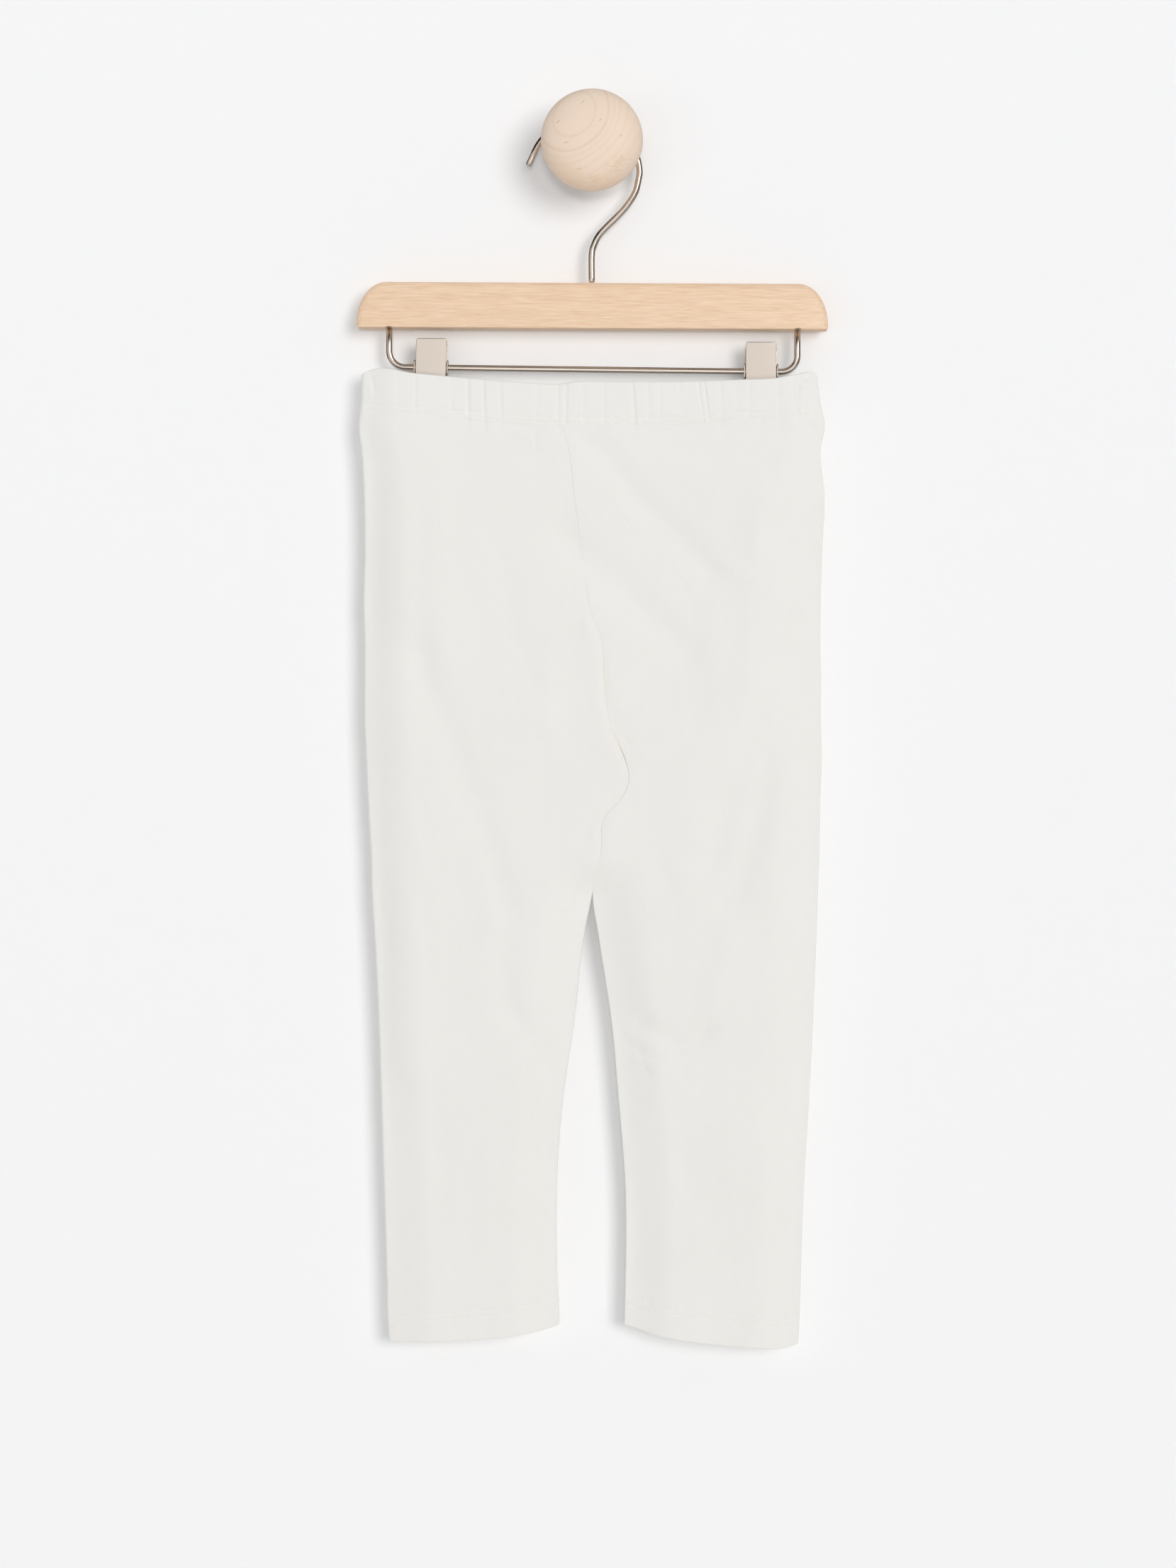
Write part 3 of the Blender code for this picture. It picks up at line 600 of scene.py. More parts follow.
def leg_columns(front, back):
    """Columns round one leg: (layer, fraction of its width, offset from that place)."""
    inner = turning(6, INNER_RADIUS)
    outer = turning(7, EDGE_RADIUS)

    def run(layer, count):
        near = [(layer, 0.0, e) for e in inner]
        far = [(layer, 1.0, -e) for e in reversed(outer)]
        between = [(layer, f, INNER_RADIUS * (1 - f) - EDGE_RADIUS * f)
                   for f in np.linspace(0, 1, count + 2)[1:-1]]
        return near + between + far

    return run(1, front) + run(-1, back)[::-1][1:]


def leg_rows():
    """Heights down a leg as (share of the top's height, distance above the hem's edge)."""
    roll = HEM_WALL / 2
    turns = [roll * (1 - math.cos(math.radians(a))) for a in (15, 38, 62, 90)]
    foot = turns + list(np.arange(roll + 0.9, 23.0, 0.95))
    head = list(np.arange(0.0, 26.0, 1.05))
    return head, foot[::-1]


def make_leg(name, side, finish):
    """One panel: centre front, round the outer side, to the centre back, with its hem."""
    columns = leg_columns(80, 52)
    head, foot = leg_rows()
    share = np.array([c[1] for c in columns])
    offset = np.array([c[2] for c in columns])
    layers = np.array([c[0] for c in columns])

    def place(z):
        outer, inner = side_edges(side, z)
        inner = inner + side * 0.03
        return inner + share * (outer - inner) + side * offset

    top = band_edge("bottom", place(-170.0)) - 0.03
    edge = through(HEM, 1, place(-715.0))
    high = top - head[-1]
    low = edge + foot[0]
    middle = np.linspace(0, 1, 192)[1:-1]
    heights = [top - h for h in head] + [high + (low - high) * f for f in middle]
    heights += [edge + h for h in foot]
    base, face = [], []
    for z in heights:
        x = place(z)
        plain, full = depths(side, layers, x, z)
        for layer in (1, -1):
            pick = layers == layer
            outer, inner = side_edges(side, z[pick])
            fade = ease((side * (outer - x[pick]) - 0.5) / 4)
            fade = fade * ease((side * (x[pick] - inner) - 0.5) / 4)
            full[pick] += layer * hem_relief(side, x[pick], z[pick], layer) * fade
        base.append(np.stack([x, -plain, z], axis=-1))
        face.append(np.stack([x, -full, z], axis=-1))
    above = np.array([1e3] * (len(heights) - len(foot)) + list(foot))
    bend = np.arccos(np.clip(1 - above / (HEM_WALL / 2), 0.0, 1.0))
    inset = HEM_WALL / 2 * (1 - np.sin(bend))
    wall = np.where(above < HEM_HEIGHT, HEM_WALL, JERSEY)
    wall = np.where(inset > 1e-6, HEM_WALL - inset, wall)
    return shell(name, np.array(face), np.array(base), wall, inset, False, finish)


def make_casing(finish):
    """The waistband: a gathered ring with a rounded top edge."""
    edge = turning(8, BAND_RADIUS)

    def run(step):
        middle = np.arange(edge[-1] + step, BAND_MIDDLE - edge[-1], step)
        far = BAND_LENGTH - np.array(edge[::-1])
        return np.concatenate([edge, middle, far]) / BAND_LENGTH

    front = run(0.72)
    back = run(1.1)[::-1][1:-1]
    near = np.concatenate([front, back])
    layers = np.concatenate([np.ones(len(front)), -np.ones(len(back))])
    radius = CASING / 2
    turns = [radius * (1 - math.cos(math.radians(a))) for a in (10, 28, 48, 68, 90)]
    from_top = turns + [radius + s for s in (0.8, 1.8, 2.9)]
    from_foot = list(np.arange(8.4, 0.0, -0.42)) + [0.0]
    base, face = [], []
    levels = [("top", t) for t in from_top] + [("mix", f) for f in np.linspace(0, 1, 14)[1:-1]]
    levels += [("foot", h) for h in from_foot]
    for kind, value in levels:
        z = np.full(near.shape, -155.0)
        for _ in range(4):
            left = section("side_right", z)
            right = section("side_left", z)
            x = left + near * (right - left)
            inside = np.minimum(x - left, right - x)
            foot = band_edge("bottom", x)
            top = band_edge("top", x) - np.where(layers < 0, BACK_DROP * ease(inside / 25), 0.0)
            if kind == "top":
                z = top - value
            elif kind == "foot":
                z = foot + value
            else:
                z = (top - from_top[-1]) * (1 - value) + (foot + from_foot[0]) * value
        side = np.where(x < section("inner_right", z), -1, 1)
        plain, full = depths(side, layers, x, z)
        base.append(np.stack([x, -plain, z], axis=-1))
        face.append(np.stack([x, -full, z], axis=-1))
    distance = np.array([v if k == "top" else 1e3 for k, v in levels])
    bend = np.arccos(np.clip(1 - distance / radius, 0.0, 1.0))
    inset = radius * (1 - np.sin(bend))
    wall = CASING - inset
    return shell("waistband_casing", np.array(face), np.array(base), wall, inset, True, finish)


def stitch(centre, run, normal, length):
    """Points and faces of one stitch: a short thread bead that lies on the cloth."""
    across = normal.cross(run).normalized()
    points = [centre - run * length / 2 - normal * STITCH_RISE * 0.3]
    for at, size in ((-0.32, 0.8), (0.0, 1.0), (0.32, 0.8)):
        for k in range(6):
            angle = math.pi * k / 3
            points.append(centre + run * at * length
                          + across * (math.cos(angle) * STITCH_HALF_WIDTH * size)
                          + normal * (math.sin(angle) * STITCH_RISE * size))
    points.append(centre + run * length / 2 - normal * STITCH_RISE * 0.3)
    faces = []
    for k in range(6):
        n = (k + 1) % 6
        faces.append((0, 1 + n, 1 + k))
        for ring in (0, 1):
            a, b = 1 + 6 * ring, 7 + 6 * ring
            faces.append((a + k, a + n, b + n, b + k))
        faces.append((13 + k, 13 + n, 19))
    return points, faces


def sew(name, cloth, rows, finish):
    """Stitches along rows of points (x, z, layer), laid on the cloth that they meet."""
    graph = bpy.context.evaluated_depsgraph_get()
    tree = BVHTree.FromObject(cloth, graph)
    random = np.random.default_rng(len(rows) + len(name))
    points, faces = [], []
    for row, layer in rows:
        way = Vector((0.0, 1.0 if layer > 0 else -1.0, 0.0))
        for x, z, slope in row:
            start = Vector((x * MM, -0.1 if layer > 0 else 0.1, z * MM))
            hit, normal, _, _ = tree.ray_cast(start, way)
            if hit is None:
                continue
            lean = 0.16 * layer + random.normal(0.0, 0.05) + slope
            run = Vector((math.cos(lean), 0.0, math.sin(lean)))
            run = (run - normal * run.dot(normal)).normalized()
            length = STITCH_LENGTH * random.uniform(0.9, 1.08)
            made, links = stitch(hit / MM + normal * 0.05, run, normal, length)
            first = len(points)
            points += [tuple(p) for p in made]
            faces += [tuple(first + i for i in face) for face in links]
    return mesh_of(name, points, faces, finish, 180.0)


def stitch_row(line, left, right, seed):
    """Places x, z and slope along a stitched row, where line gives z at x."""
    random = np.random.default_rng(seed)
    places = []
    x = left
    while x < right:
        slope = float(line(x + 0.5) - line(x - 0.5))
        places.append((x, float(line(x)) + random.normal(0.0, 0.05), slope))
        x += STITCH_PITCH * random.uniform(0.95, 1.05)
    return places


def band_rows():
    rows = []
    for layer, drop in ((1, 0.0), (-1, BACK_DROP)):
        for row in (0, 1):
            def line(x, row=row, drop=drop):
                return through(BAND_STITCHES, 1, x) - row * NEEDLE_GAP - drop
            rows.append((stitch_row(line, -139.6, 139.5, 5 + row + 3 * layer), layer))
    return rows


def hem_rows(side):
    rows = []
    ends = (-124.0, -21.6) if side < 0 else (21.6, 126.8)
    for layer in (1, -1):
        for column in (1, 2):
            def line(x, column=column):
                return through(HEM, 1, x) + through(HEM_STITCHES[side], column, x)
            rows.append((stitch_row(line, *ends, 40 + column + 3 * layer + 7 * side), layer))
    return rows


def tubes(name, groups, finish, sharp):
    """One piece of closed tubes, each from rings of points, with a flat end at each side."""
    points, faces = [], []
    for rings in groups:
        rings = np.asarray(rings)
        count, sides = rings.shape[:2]
        first = len(points)
        points += [tuple(p) for p in rings.reshape(-1, 3)]
        for r in range(count - 1):
            for k in range(sides):
                n = (k + 1) % sides
                a, b = first + r * sides, first + (r + 1) * sides
                faces.append((a + k, a + n, b + n, b + k))
        faces.append(tuple(range(first, first + sides)))
        faces.append(tuple(range(first + (count - 1) * sides, first + count * sides)))
    return mesh_of(name, points, faces, finish, sharp)


def wire(name, path, finish):
    """Round bent wire along (x, z) in the hanger's plane, its cut ends slightly rounded."""
    path = np.array(path)
    tangents = unit(np.gradient(path, axis=0))
    radius = WIRE / 2
    rings = []
    angles = np.arange(WIRE_SIDES) * 2 * math.pi / WIRE_SIDES

    def ring(point, tangent, size):
        out = np.array((-tangent[1], tangent[0]))
        flat = point[None, :] + out[None, :] * (np.cos(angles) * size)[:, None]
        depth = HANGER_DEPTH + np.sin(angles) * size
        rings.append(np.stack([flat[:, 0], -depth, flat[:, 1]], axis=-1))

    ring(path[0], tangents[0], radius - 0.35)
    for step, (point, tangent) in enumerate(zip(path, tangents)):
        if step == 0:
            point = point + tangent * 0.3
        if step == len(path) - 1:
            point = point - tangent * 0.3
        ring(point, tangent, radius)
    ring(path[-1], tangents[-1], radius - 0.35)
    return tubes(name, [rings], finish, 60.0)


def smooth_run(points, steps):
    """A smooth curve through points, as many steps between each two."""
    points = np.array(points, float)
    padded = np.vstack([2 * points[0] - points[1], points, 2 * points[-1] - points[-2]])
    run = []
    for i in range(1, len(padded) - 2):
        a, b, c, d = padded[i - 1:i + 3]
        for t in np.linspace(0, 1, steps, endpoint=False):
            run.append(0.5 * (2 * b + (c - a) * t + (2 * a - 5 * b + 4 * c - d) * t ** 2
                              + (3 * b - a - 3 * c + d) * t ** 3))
    run.append(points[-1])
    return run


def arc(x, z, radius, start, end, steps):
    angles = np.radians(np.linspace(start, end, steps + 1))
    return [np.array((x + radius * math.cos(a), z + radius * math.sin(a))) for a in angles]


def make_knob(finish):
    """Turned pebble of a knob, with its stem."""
    half = KNOB_DEPTH / 2
    steps = 44
    rings = []
    sides = 112
    angles = np.arange(sides) * 2 * math.pi / sides
    for i in range(steps + 1):
        angle = math.pi / 2 - math.pi * i / steps
        radius = KNOB_RADIUS * max(math.cos(angle), 1e-9) ** 0.72 if 0 < i < steps else 0.4
        height = half * math.copysign(abs(math.sin(angle)) ** 0.9, angle)
        depth = STEM_LENGTH + GAP + half + height
        wobble = 1 + 0.002 * np.sin(2 * angles + 0.7) + 0.0015 * np.sin(3 * angles)
        wobble = wobble / 1.0035
        rings.append(np.stack([radius * wobble * np.cos(angles), np.full(sides, -depth),
                               radius * wobble * np.sin(angles)], axis=-1))
    head = tubes("turned_knob", [rings], finish, 60.0)
    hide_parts("knob_head")
    rings = []
    for depth, radius in ((0.0, STEM_RADIUS), (3.0, STEM_RADIUS), (10.0, 14.0), (18.0, 14.0),
                          (22.5, 14.2), (STEM_LENGTH + 0.6, STEM_RADIUS)):
        rings.append(np.stack([radius * np.cos(angles), np.full(sides, -depth),
                               radius * np.sin(angles)], axis=-1))
    stem = tubes("turned_stem", [rings], finish, 30.0)
    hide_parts("knob_stem")


def bar_outline():
    """Outline of the bar, anticlockwise from its left foot, and how much of the chamfer each
    point gets: all of it along the top and the ends, little along the foot."""
    def corner(x, z, radius, rise, first):
        return [(x + radius * math.cos(math.radians(a)), z + rise * math.sin(math.radians(a)))
                for a in np.linspace(first, first + 90, 17 if radius > 5 else 7)]

    spring = BAR_TOP - BAR_SHOULDER_DROP
    points = [(x, BAR_FOOT) for x in np.linspace(BAR_LEFT + BAR_CORNER, BAR_RIGHT - BAR_CORNER, 40)]
    points += corner(BAR_RIGHT - BAR_CORNER, BAR_FOOT + BAR_CORNER, BAR_CORNER, BAR_CORNER, -90)[1:]
    points += corner(BAR_RIGHT - BAR_SHOULDER, spring, BAR_SHOULDER, BAR_SHOULDER_DROP, 0)[1:]
    points += [(x, BAR_TOP) for x in np.linspace(BAR_RIGHT - BAR_SHOULDER,
                                                 BAR_LEFT + BAR_SHOULDER, 36)[1:]]
    points += corner(BAR_LEFT + BAR_SHOULDER, spring, BAR_SHOULDER, BAR_SHOULDER_DROP, 90)[1:]
    points += corner(BAR_LEFT + BAR_CORNER, BAR_FOOT + BAR_CORNER, BAR_CORNER, BAR_CORNER, 180)[:-1]
    points = np.array(points)
    share = 0.22 + 0.78 * ease((points[:, 1] - BAR_FOOT - 0.1) / 2.6)
    return points, share


def make_bar(finish):
    """Wooden bar with rounded shoulders, chamfered along its top and its ends."""
    outline, share = bar_outline()
    ahead = np.roll(outline, -1, axis=0) - np.roll(outline, 1, axis=0)
    inward = unit(np.stack([-ahead[:, 1], ahead[:, 0]], axis=-1))
    half = BAR_HALF_THICKNESS
    steps = ((1.0, 0.0), (0.86, 0.1), (0.62, 0.42), (0.36, 0.85), (0.14, 1.35), (0.03, 1.85),
             (0.0, 2.4))
    levels = [(inset, drop - half) for inset, drop in steps]
    levels += [(inset, half - drop) for inset, drop in reversed(steps)]
    rings = []
    for inset, depth in levels:
        flat = outline + inward * (BAR_CHAMFER * inset * share)[:, None]
        x = flat[:, 0]
        z = flat[:, 1] - x * BAR_TILT
        away = np.where(abs(depth) > half - 2.5, half - (half - abs(depth)) * share, abs(depth))
        rings.append(np.stack([x, -HANGER_DEPTH - np.sign(depth) * away, z], axis=-1))
    made = tubes("wooden_bar", [rings], finish, 30.0)
    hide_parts("bar")


def rounded_loop(half_width, half_height, wide, high, step):
    """Points round a rectangle whose corners have a width and a height of their own."""
    loop = []
    for across, up, first in ((1, 1, 0), (-1, 1, 90), (-1, -1, 180), (1, -1, 270)):
        for a in np.radians(np.arange(first, first + 91, step)):
            loop.append((across * (half_width - wide) + wide * math.cos(a),
                         up * (half_height - high) + high * math.sin(a)))
    return np.array(loop)


def plate_rings(sign, half_width, top):
    """One clip plate: level loops round it, which shrink towards its rounded upper corners."""
    rod = WIRE / 2 + GAP
    jaw = CASING / 2 + GAP
    bend = np.array(((-CLIP_DROP, jaw), (-CLIP_JAW - 1.5, jaw), (-CLIP_JAW + 1.5, jaw + 0.14),
                     (CLIP_RISE, rod + CLIP_TOP_SPREAD / 2)))
    corner, soft = 1.3, 0.36
    levels = list(np.linspace(-CLIP_DROP, top - corner, 30))
    levels += [top - corner + corner * math.sin(math.radians(a)) for a in (18, 36, 54, 68, 80, 90)]
    rings = []
    for z in levels:
        rise = max(z - (top - corner), 0.0)
        width = half_width - corner + math.sqrt(max(corner ** 2 - rise ** 2, 0.0))
        thick = CLIP_PLATE / 2
        if z > top - 0.3:
            thick -= 0.3 - math.sqrt(max(0.09 - (z - top + 0.3) ** 2, 0.0))
        middle = float(np.interp(z, bend[:, 0], bend[:, 1])) + CLIP_PLATE / 2
        loop = rounded_loop(width, thick, soft, min(soft, thick * 0.9), 22.5)
        rings.append(np.stack([loop[:, 0], -HANGER_DEPTH - sign * middle - loop[:, 1],
                               np.full(len(loop), z)], axis=-1))
    return np.array(rings)


def ear_rings(x):
    """One ear of a back plate, which the rod runs through: a thin plate across it."""
    reach = WIRE / 2 + GAP + CLIP_PLATE
    outline = rounded_loop(reach, EAR_RISE, 1.2, 1.2, 15)
    rings = []
    for at, size in ((-0.5, 0.93), (-0.28, 1.0), (0.28, 1.0), (0.5, 0.93)):
        rings.append(np.stack([np.full(len(outline), x + at * EAR), -outline[:, 0] * size
                               - HANGER_DEPTH, outline[:, 1] * size], axis=-1))
    return np.array(rings)


def make_clip(side, x, turn, lean, finish):
    """Front plate, and a back plate with ears, turned a little round the upright and leaning."""
    z = ROD_Z - x * ROD_TILT
    wide = CLIP_HALF_WIDTH + GAP + EAR
    front = plate_rings(1, CLIP_HALF_WIDTH, CLIP_RISE)
    back = plate_rings(-1, wide - 0.9, CLIP_RISE - 2.6)
    ears = [ear_rings(sign * (CLIP_HALF_WIDTH + GAP + EAR / 2)) for sign in (-1, 1)]

    def placed(rings):
        points = rings.copy()
        away = points[..., 1] + HANGER_DEPTH
        points[..., 0], away = (points[..., 0] * math.cos(turn) - away * math.sin(turn),
                                points[..., 0] * math.sin(turn) + away * math.cos(turn))
        points[..., 1] = away - HANGER_DEPTH
        points[..., 0] += x + lean * points[..., 2]
        points[..., 2] += z - (points[..., 0] - x) * ROD_TILT
        return points

    plate = tubes(f"clip_{side}_plate", [placed(front)], finish, 40.0)
    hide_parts(f"clip_{side}_front")
    spring = tubes(f"clip_{side}_spring_plate", [placed(g) for g in (back, *ears)], finish,
                   40.0)
    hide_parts(f"clip_{side}_back")


def make_wires(finish):
    bend = []
    for angle in np.linspace(0.0, HOOK_ARC_END, 73):
        radius = HOOK_RADIUS + HOOK_OPENING * float(ease((angle - 90.0) / 66.0))
        bend += arc(HOOK_ARC_X, HOOK_ARC_Z, radius, angle, angle, 0)
    end = math.radians(HOOK_ARC_END)
    tip = (bend[-1][0] - HOOK_TAIL * math.sin(end), bend[-1][1] + HOOK_TAIL * math.cos(end))
    neck = smooth_run([*HOOK_NECK, tuple(bend[0])], 7)
    hook = wire("wire_hook", [*neck[:-1], *bend, np.array(tip)], finish)
    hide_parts("hook")

    foot = BAR_FOOT + 1.2
    left_z = ROD_Z - ROD_LEFT * ROD_TILT
    right_z = ROD_Z - ROD_RIGHT * ROD_TILT
    left = arc(ROD_LEFT + ROD_BEND, left_z + ROD_BEND, ROD_BEND, 180.0, 270.0, 14)
    right = arc(ROD_RIGHT - ROD_BEND, right_z + ROD_BEND, ROD_BEND, 270.0, 360.0, 14)
    rod = wire("wire_rod", [np.array((ROD_LEFT, foot)), *left, *right,
                            np.array((ROD_RIGHT, foot))], finish)
    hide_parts("rod")


def new_material(name, colour, roughness, metallic=0.0):
    made = bpy.data.materials.new(name)
    made.use_nodes = True
    shader = made.node_tree.nodes["Principled BSDF"]
    shader.inputs["Base Color"].default_value = (*colour, 1.0)
    shader.inputs["Roughness"].default_value = roughness
    shader.inputs["Metallic"].default_value = metallic
    return made, made.node_tree, shader


def add_node(tree, kind, settings=None, inputs=None):
    """A node with its settings, and its inputs by name or number, as values or as links."""
    made = tree.nodes.new(kind)
    for key, value in (settings or {}).items():
        setattr(made, key, value)
    for key, value in (inputs or {}).items():
        if isinstance(value, bpy.types.NodeSocket):
            tree.links.new(value, made.inputs[key])
        else:
            made.inputs[key].default_value = value
    return made


def compute(tree, operation, *values):
    made = add_node(tree, "ShaderNodeMath", {"operation": operation}, dict(enumerate(values)))
    return made.outputs[0]


def mix_colour(tree, amount, *colours):
    """Mix of two colours, each a link or (red, green, blue)."""
    first, second = (c if isinstance(c, bpy.types.NodeSocket) else (*c, 1.0) for c in colours)
    made = add_node(tree, "ShaderNodeMix", {"data_type": "RGBA"},
                    {0: amount, 6: first, 7: second})
    return made.outputs[2]


def remap(tree, value, low, high, first, last, kind="LINEAR"):
    made = add_node(tree, "ShaderNodeMapRange", {"interpolation_type": kind},
                    {0: value, 1: low, 2: high, 3: first, 4: last})
    return made.outputs[0]


def noise(tree, place, scale, detail=2.0, roughness=0.5, distortion=0.0):
    made = add_node(tree, "ShaderNodeTexNoise", None,
                    {"Vector": place, "Scale": scale, "Detail": detail,
                     "Roughness": roughness, "Distortion": distortion})
    return made.outputs[0]


def stretched(tree, place, x, y, z):
    made = add_node(tree, "ShaderNodeMapping", None, {"Vector": place, "Scale": (x, y, z)})
    return made.outputs[0]


def wave(tree, place, direction, scale, distortion, detail=2.0, detail_scale=1.0):
    made = add_node(tree, "ShaderNodeTexWave", {"bands_direction": direction},
                    {"Vector": place, "Scale": scale, "Distortion": distortion,
                     "Detail": detail, "Detail Scale": detail_scale})
    return made.outputs["Fac"]


def bump(tree, height, strength, distance):
    made = add_node(tree, "ShaderNodeBump", None,
                    {"Height": height, "Strength": strength, "Distance": distance})
    return made.outputs[0]


def connect(tree, shader, **sockets):
    """Links to a shader's inputs, named in small letters with _ for a space."""
    for name, value in sockets.items():
        tree.links.new(value, shader.inputs[name.replace("_", " ").title()])


def object_place(tree):
    return add_node(tree, "ShaderNodeTexCoord").outputs["Object"]


def jersey_material(name, colour, deeper):
    """Fine cotton jersey: soft tone changes, wales and courses of the knit, and a light fuzz."""
    made, tree, shader = new_material(name, colour, 0.88)
    place = object_place(tree)
    cloudy = noise(tree, place, 14.0, 3.0, 0.55)
    mottled = noise(tree, place, 260.0, 3.0, 0.6)
    tone = compute(tree, "MULTIPLY_ADD", cloudy, 0.55, -0.05)
    tone = compute(tree, "MULTIPLY_ADD", mottled, 0.35, tone)
    mixed = mix_colour(tree, tone, colour, deeper)
    # Painted shade: a warm, darker cloth colour in the fold beside the crotch seam, for light
    # bounced within the fold.
    painted_warm_shade = compute(tree, "MULTIPLY", marks(tree, place, SEAM_PAINTED_SHADE), 0.32)
    mixed = mix_colour(tree, painted_warm_shade, mixed, (0.80, 0.735, 0.655))
    wales = wave(tree, place, "X", 420.0, 0.8, 1.0, 0.6)
    courses = wave(tree, place, "Z", 560.0, 0.8, 1.0, 0.6)
    knit = compute(tree, "MULTIPLY_ADD", courses, 0.5, wales)
    fuzz = noise(tree, place, 1500.0, 2.0, 0.6)
    knit = compute(tree, "MULTIPLY_ADD", fuzz, 0.8, knit)
    soft = bump(tree, mottled, 0.25, 0.0002)
    fine = add_node(tree, "ShaderNodeBump", None,
                    {"Height": knit, "Strength": 0.3, "Distance": 0.00008, "Normal": soft})
    connect(tree, shader, base_color=mixed, normal=fine.outputs[0])
    shader.inputs["Sheen Weight"].default_value = 0.12
    shader.inputs["Sheen Roughness"].default_value = 0.5
    shader.inputs["Specular IOR Level"].default_value = 0.25
    return made


def thread_material():
    made, tree, shader = new_material("ivory_thread", (0.86, 0.85, 0.825), 0.6)
    twist = wave(tree, object_place(tree), "DIAGONAL", 700.0, 0.4)
    mixed = mix_colour(tree, twist, (0.85, 0.84, 0.81), (0.90, 0.89, 0.865))
    connect(tree, shader, base_color=mixed, normal=bump(tree, twist, 0.3, 0.00008))
    return made


def marks(tree, place, table):
    """1 inside small soft ovals on the front, 0 outside: x, z, half length, half width, turn."""
    total = None
    for x, z, long, short, turn in table:
        local = add_node(tree, "ShaderNodeMapping", {"vector_type": "TEXTURE"},
                         {"Vector": place, "Location": (x * MM, 0.0, z * MM),
                          "Rotation": (0.0, -math.radians(turn), 0.0),
                          "Scale": (long * MM, 1e3, short * MM)}).outputs[0]
        size = add_node(tree, "ShaderNodeVectorMath", {"operation": "LENGTH"}, {0: local})
        inside = remap(tree, size.outputs["Value"], 0.1, 1.0, 1.0, 0.0, "SMOOTHSTEP")
        total = inside if total is None else compute(tree, "MAXIMUM", total, inside)
    return total


def knob_material():
    """Pale close-grained wood cut across: off-centre growth rings, pores and small flecks."""
    made, tree, shader = new_material("pale_turned_wood", (0.78, 0.62, 0.49), 0.52)
    place = object_place(tree)
    shifted = add_node(tree, "ShaderNodeMapping", {"vector_type": "TEXTURE"},
                       {"Vector": place, "Location": (-0.0104, -0.052, 0.0131),
                        "Rotation": (0.0, math.radians(-58), 0.0),
                        "Scale": (1.25, 6.6, 1.0)}).outputs[0]
    waver = noise(tree, shifted, 28.0, 2.0, 0.5)
    reach = add_node(tree, "ShaderNodeVectorMath", {"operation": "LENGTH"}, {0: shifted})
    reach = compute(tree, "MULTIPLY_ADD", waver, 0.004, reach.outputs["Value"])
    reach = compute(tree, "MULTIPLY", reach, 1.0 / KNOB_REACH)
    ring = add_node(tree, "ShaderNodeValToRGB", None, {"Fac": reach})
    stops = ring.color_ramp.elements
    stops[0].position, stops[0].color = 0.0, (0.0, 0.0, 0.0, 1.0)
    stops[1].position, stops[1].color = 1.0, (0.0, 0.0, 0.0, 1.0)
    for radius, level in KNOB_RINGS:
        for at, share in ((radius - 1.5, 0.0), (radius, 1.0), (radius + 0.5, 0.0)):
            stop = stops.new(at * MM / KNOB_REACH)
            stop.color = (level * share, level * share, level * share, 1.0)
    strength = noise(tree, shifted, 45.0, 2.0, 0.6)
    strength = compute(tree, "MULTIPLY_ADD", strength, 0.9, 0.1)
    rings = compute(tree, "MULTIPLY", ring.outputs["Color"], strength)
    grain = noise(tree, stretched(tree, place, 900.0, 300.0, 420.0), 1.0, 3.0, 0.6)
    cloudy = noise(tree, place, 60.0, 3.0, 0.6)
    colour = mix_colour(tree, cloudy, (0.80, 0.645, 0.525), (0.765, 0.61, 0.475))
    colour = mix_colour(tree, rings, colour, (0.69, 0.475, 0.335))
    colour = mix_colour(tree, marks(tree, place, KNOB_MARKS), colour, (0.58, 0.36, 0.23))
    turned = add_node(tree, "ShaderNodeMapping", None,
                      {"Vector": place, "Rotation": (0.0, math.radians(35), 0.0),
                       "Scale": (300.0, 300.0, 700.0)}).outputs[0]
    rays = noise(tree, turned, 1.0, 2.0, 0.7)
    fleck = remap(tree, rays, 0.46, 0.6, 0.0, 0.85)
    fleck = compute(tree, "MULTIPLY", fleck, marks(tree, place, KNOB_FLECKS))
    colour = mix_colour(tree, fleck, colour, (0.70, 0.50, 0.33))
    # Painted shade along the knob's lower rim, in a warmer, darker wood colour.
    painted_warm_shade = compute(tree, "MULTIPLY", marks(tree, place, KNOB_RIM_SHADE), 0.55)
    colour = mix_colour(tree, painted_warm_shade, colour, (0.78, 0.58, 0.41))
    speck = compute(tree, "MULTIPLY", grain, 0.22)
    colour = mix_colour(tree, speck, colour, (0.86, 0.74, 0.63))
    connect(tree, shader, base_color=colour, normal=bump(tree, grain, 0.16, 0.00015),
            roughness=compute(tree, "MULTIPLY_ADD", grain, 0.2, 0.42))
    shader.inputs["Specular IOR Level"].default_value = 0.35
    return made


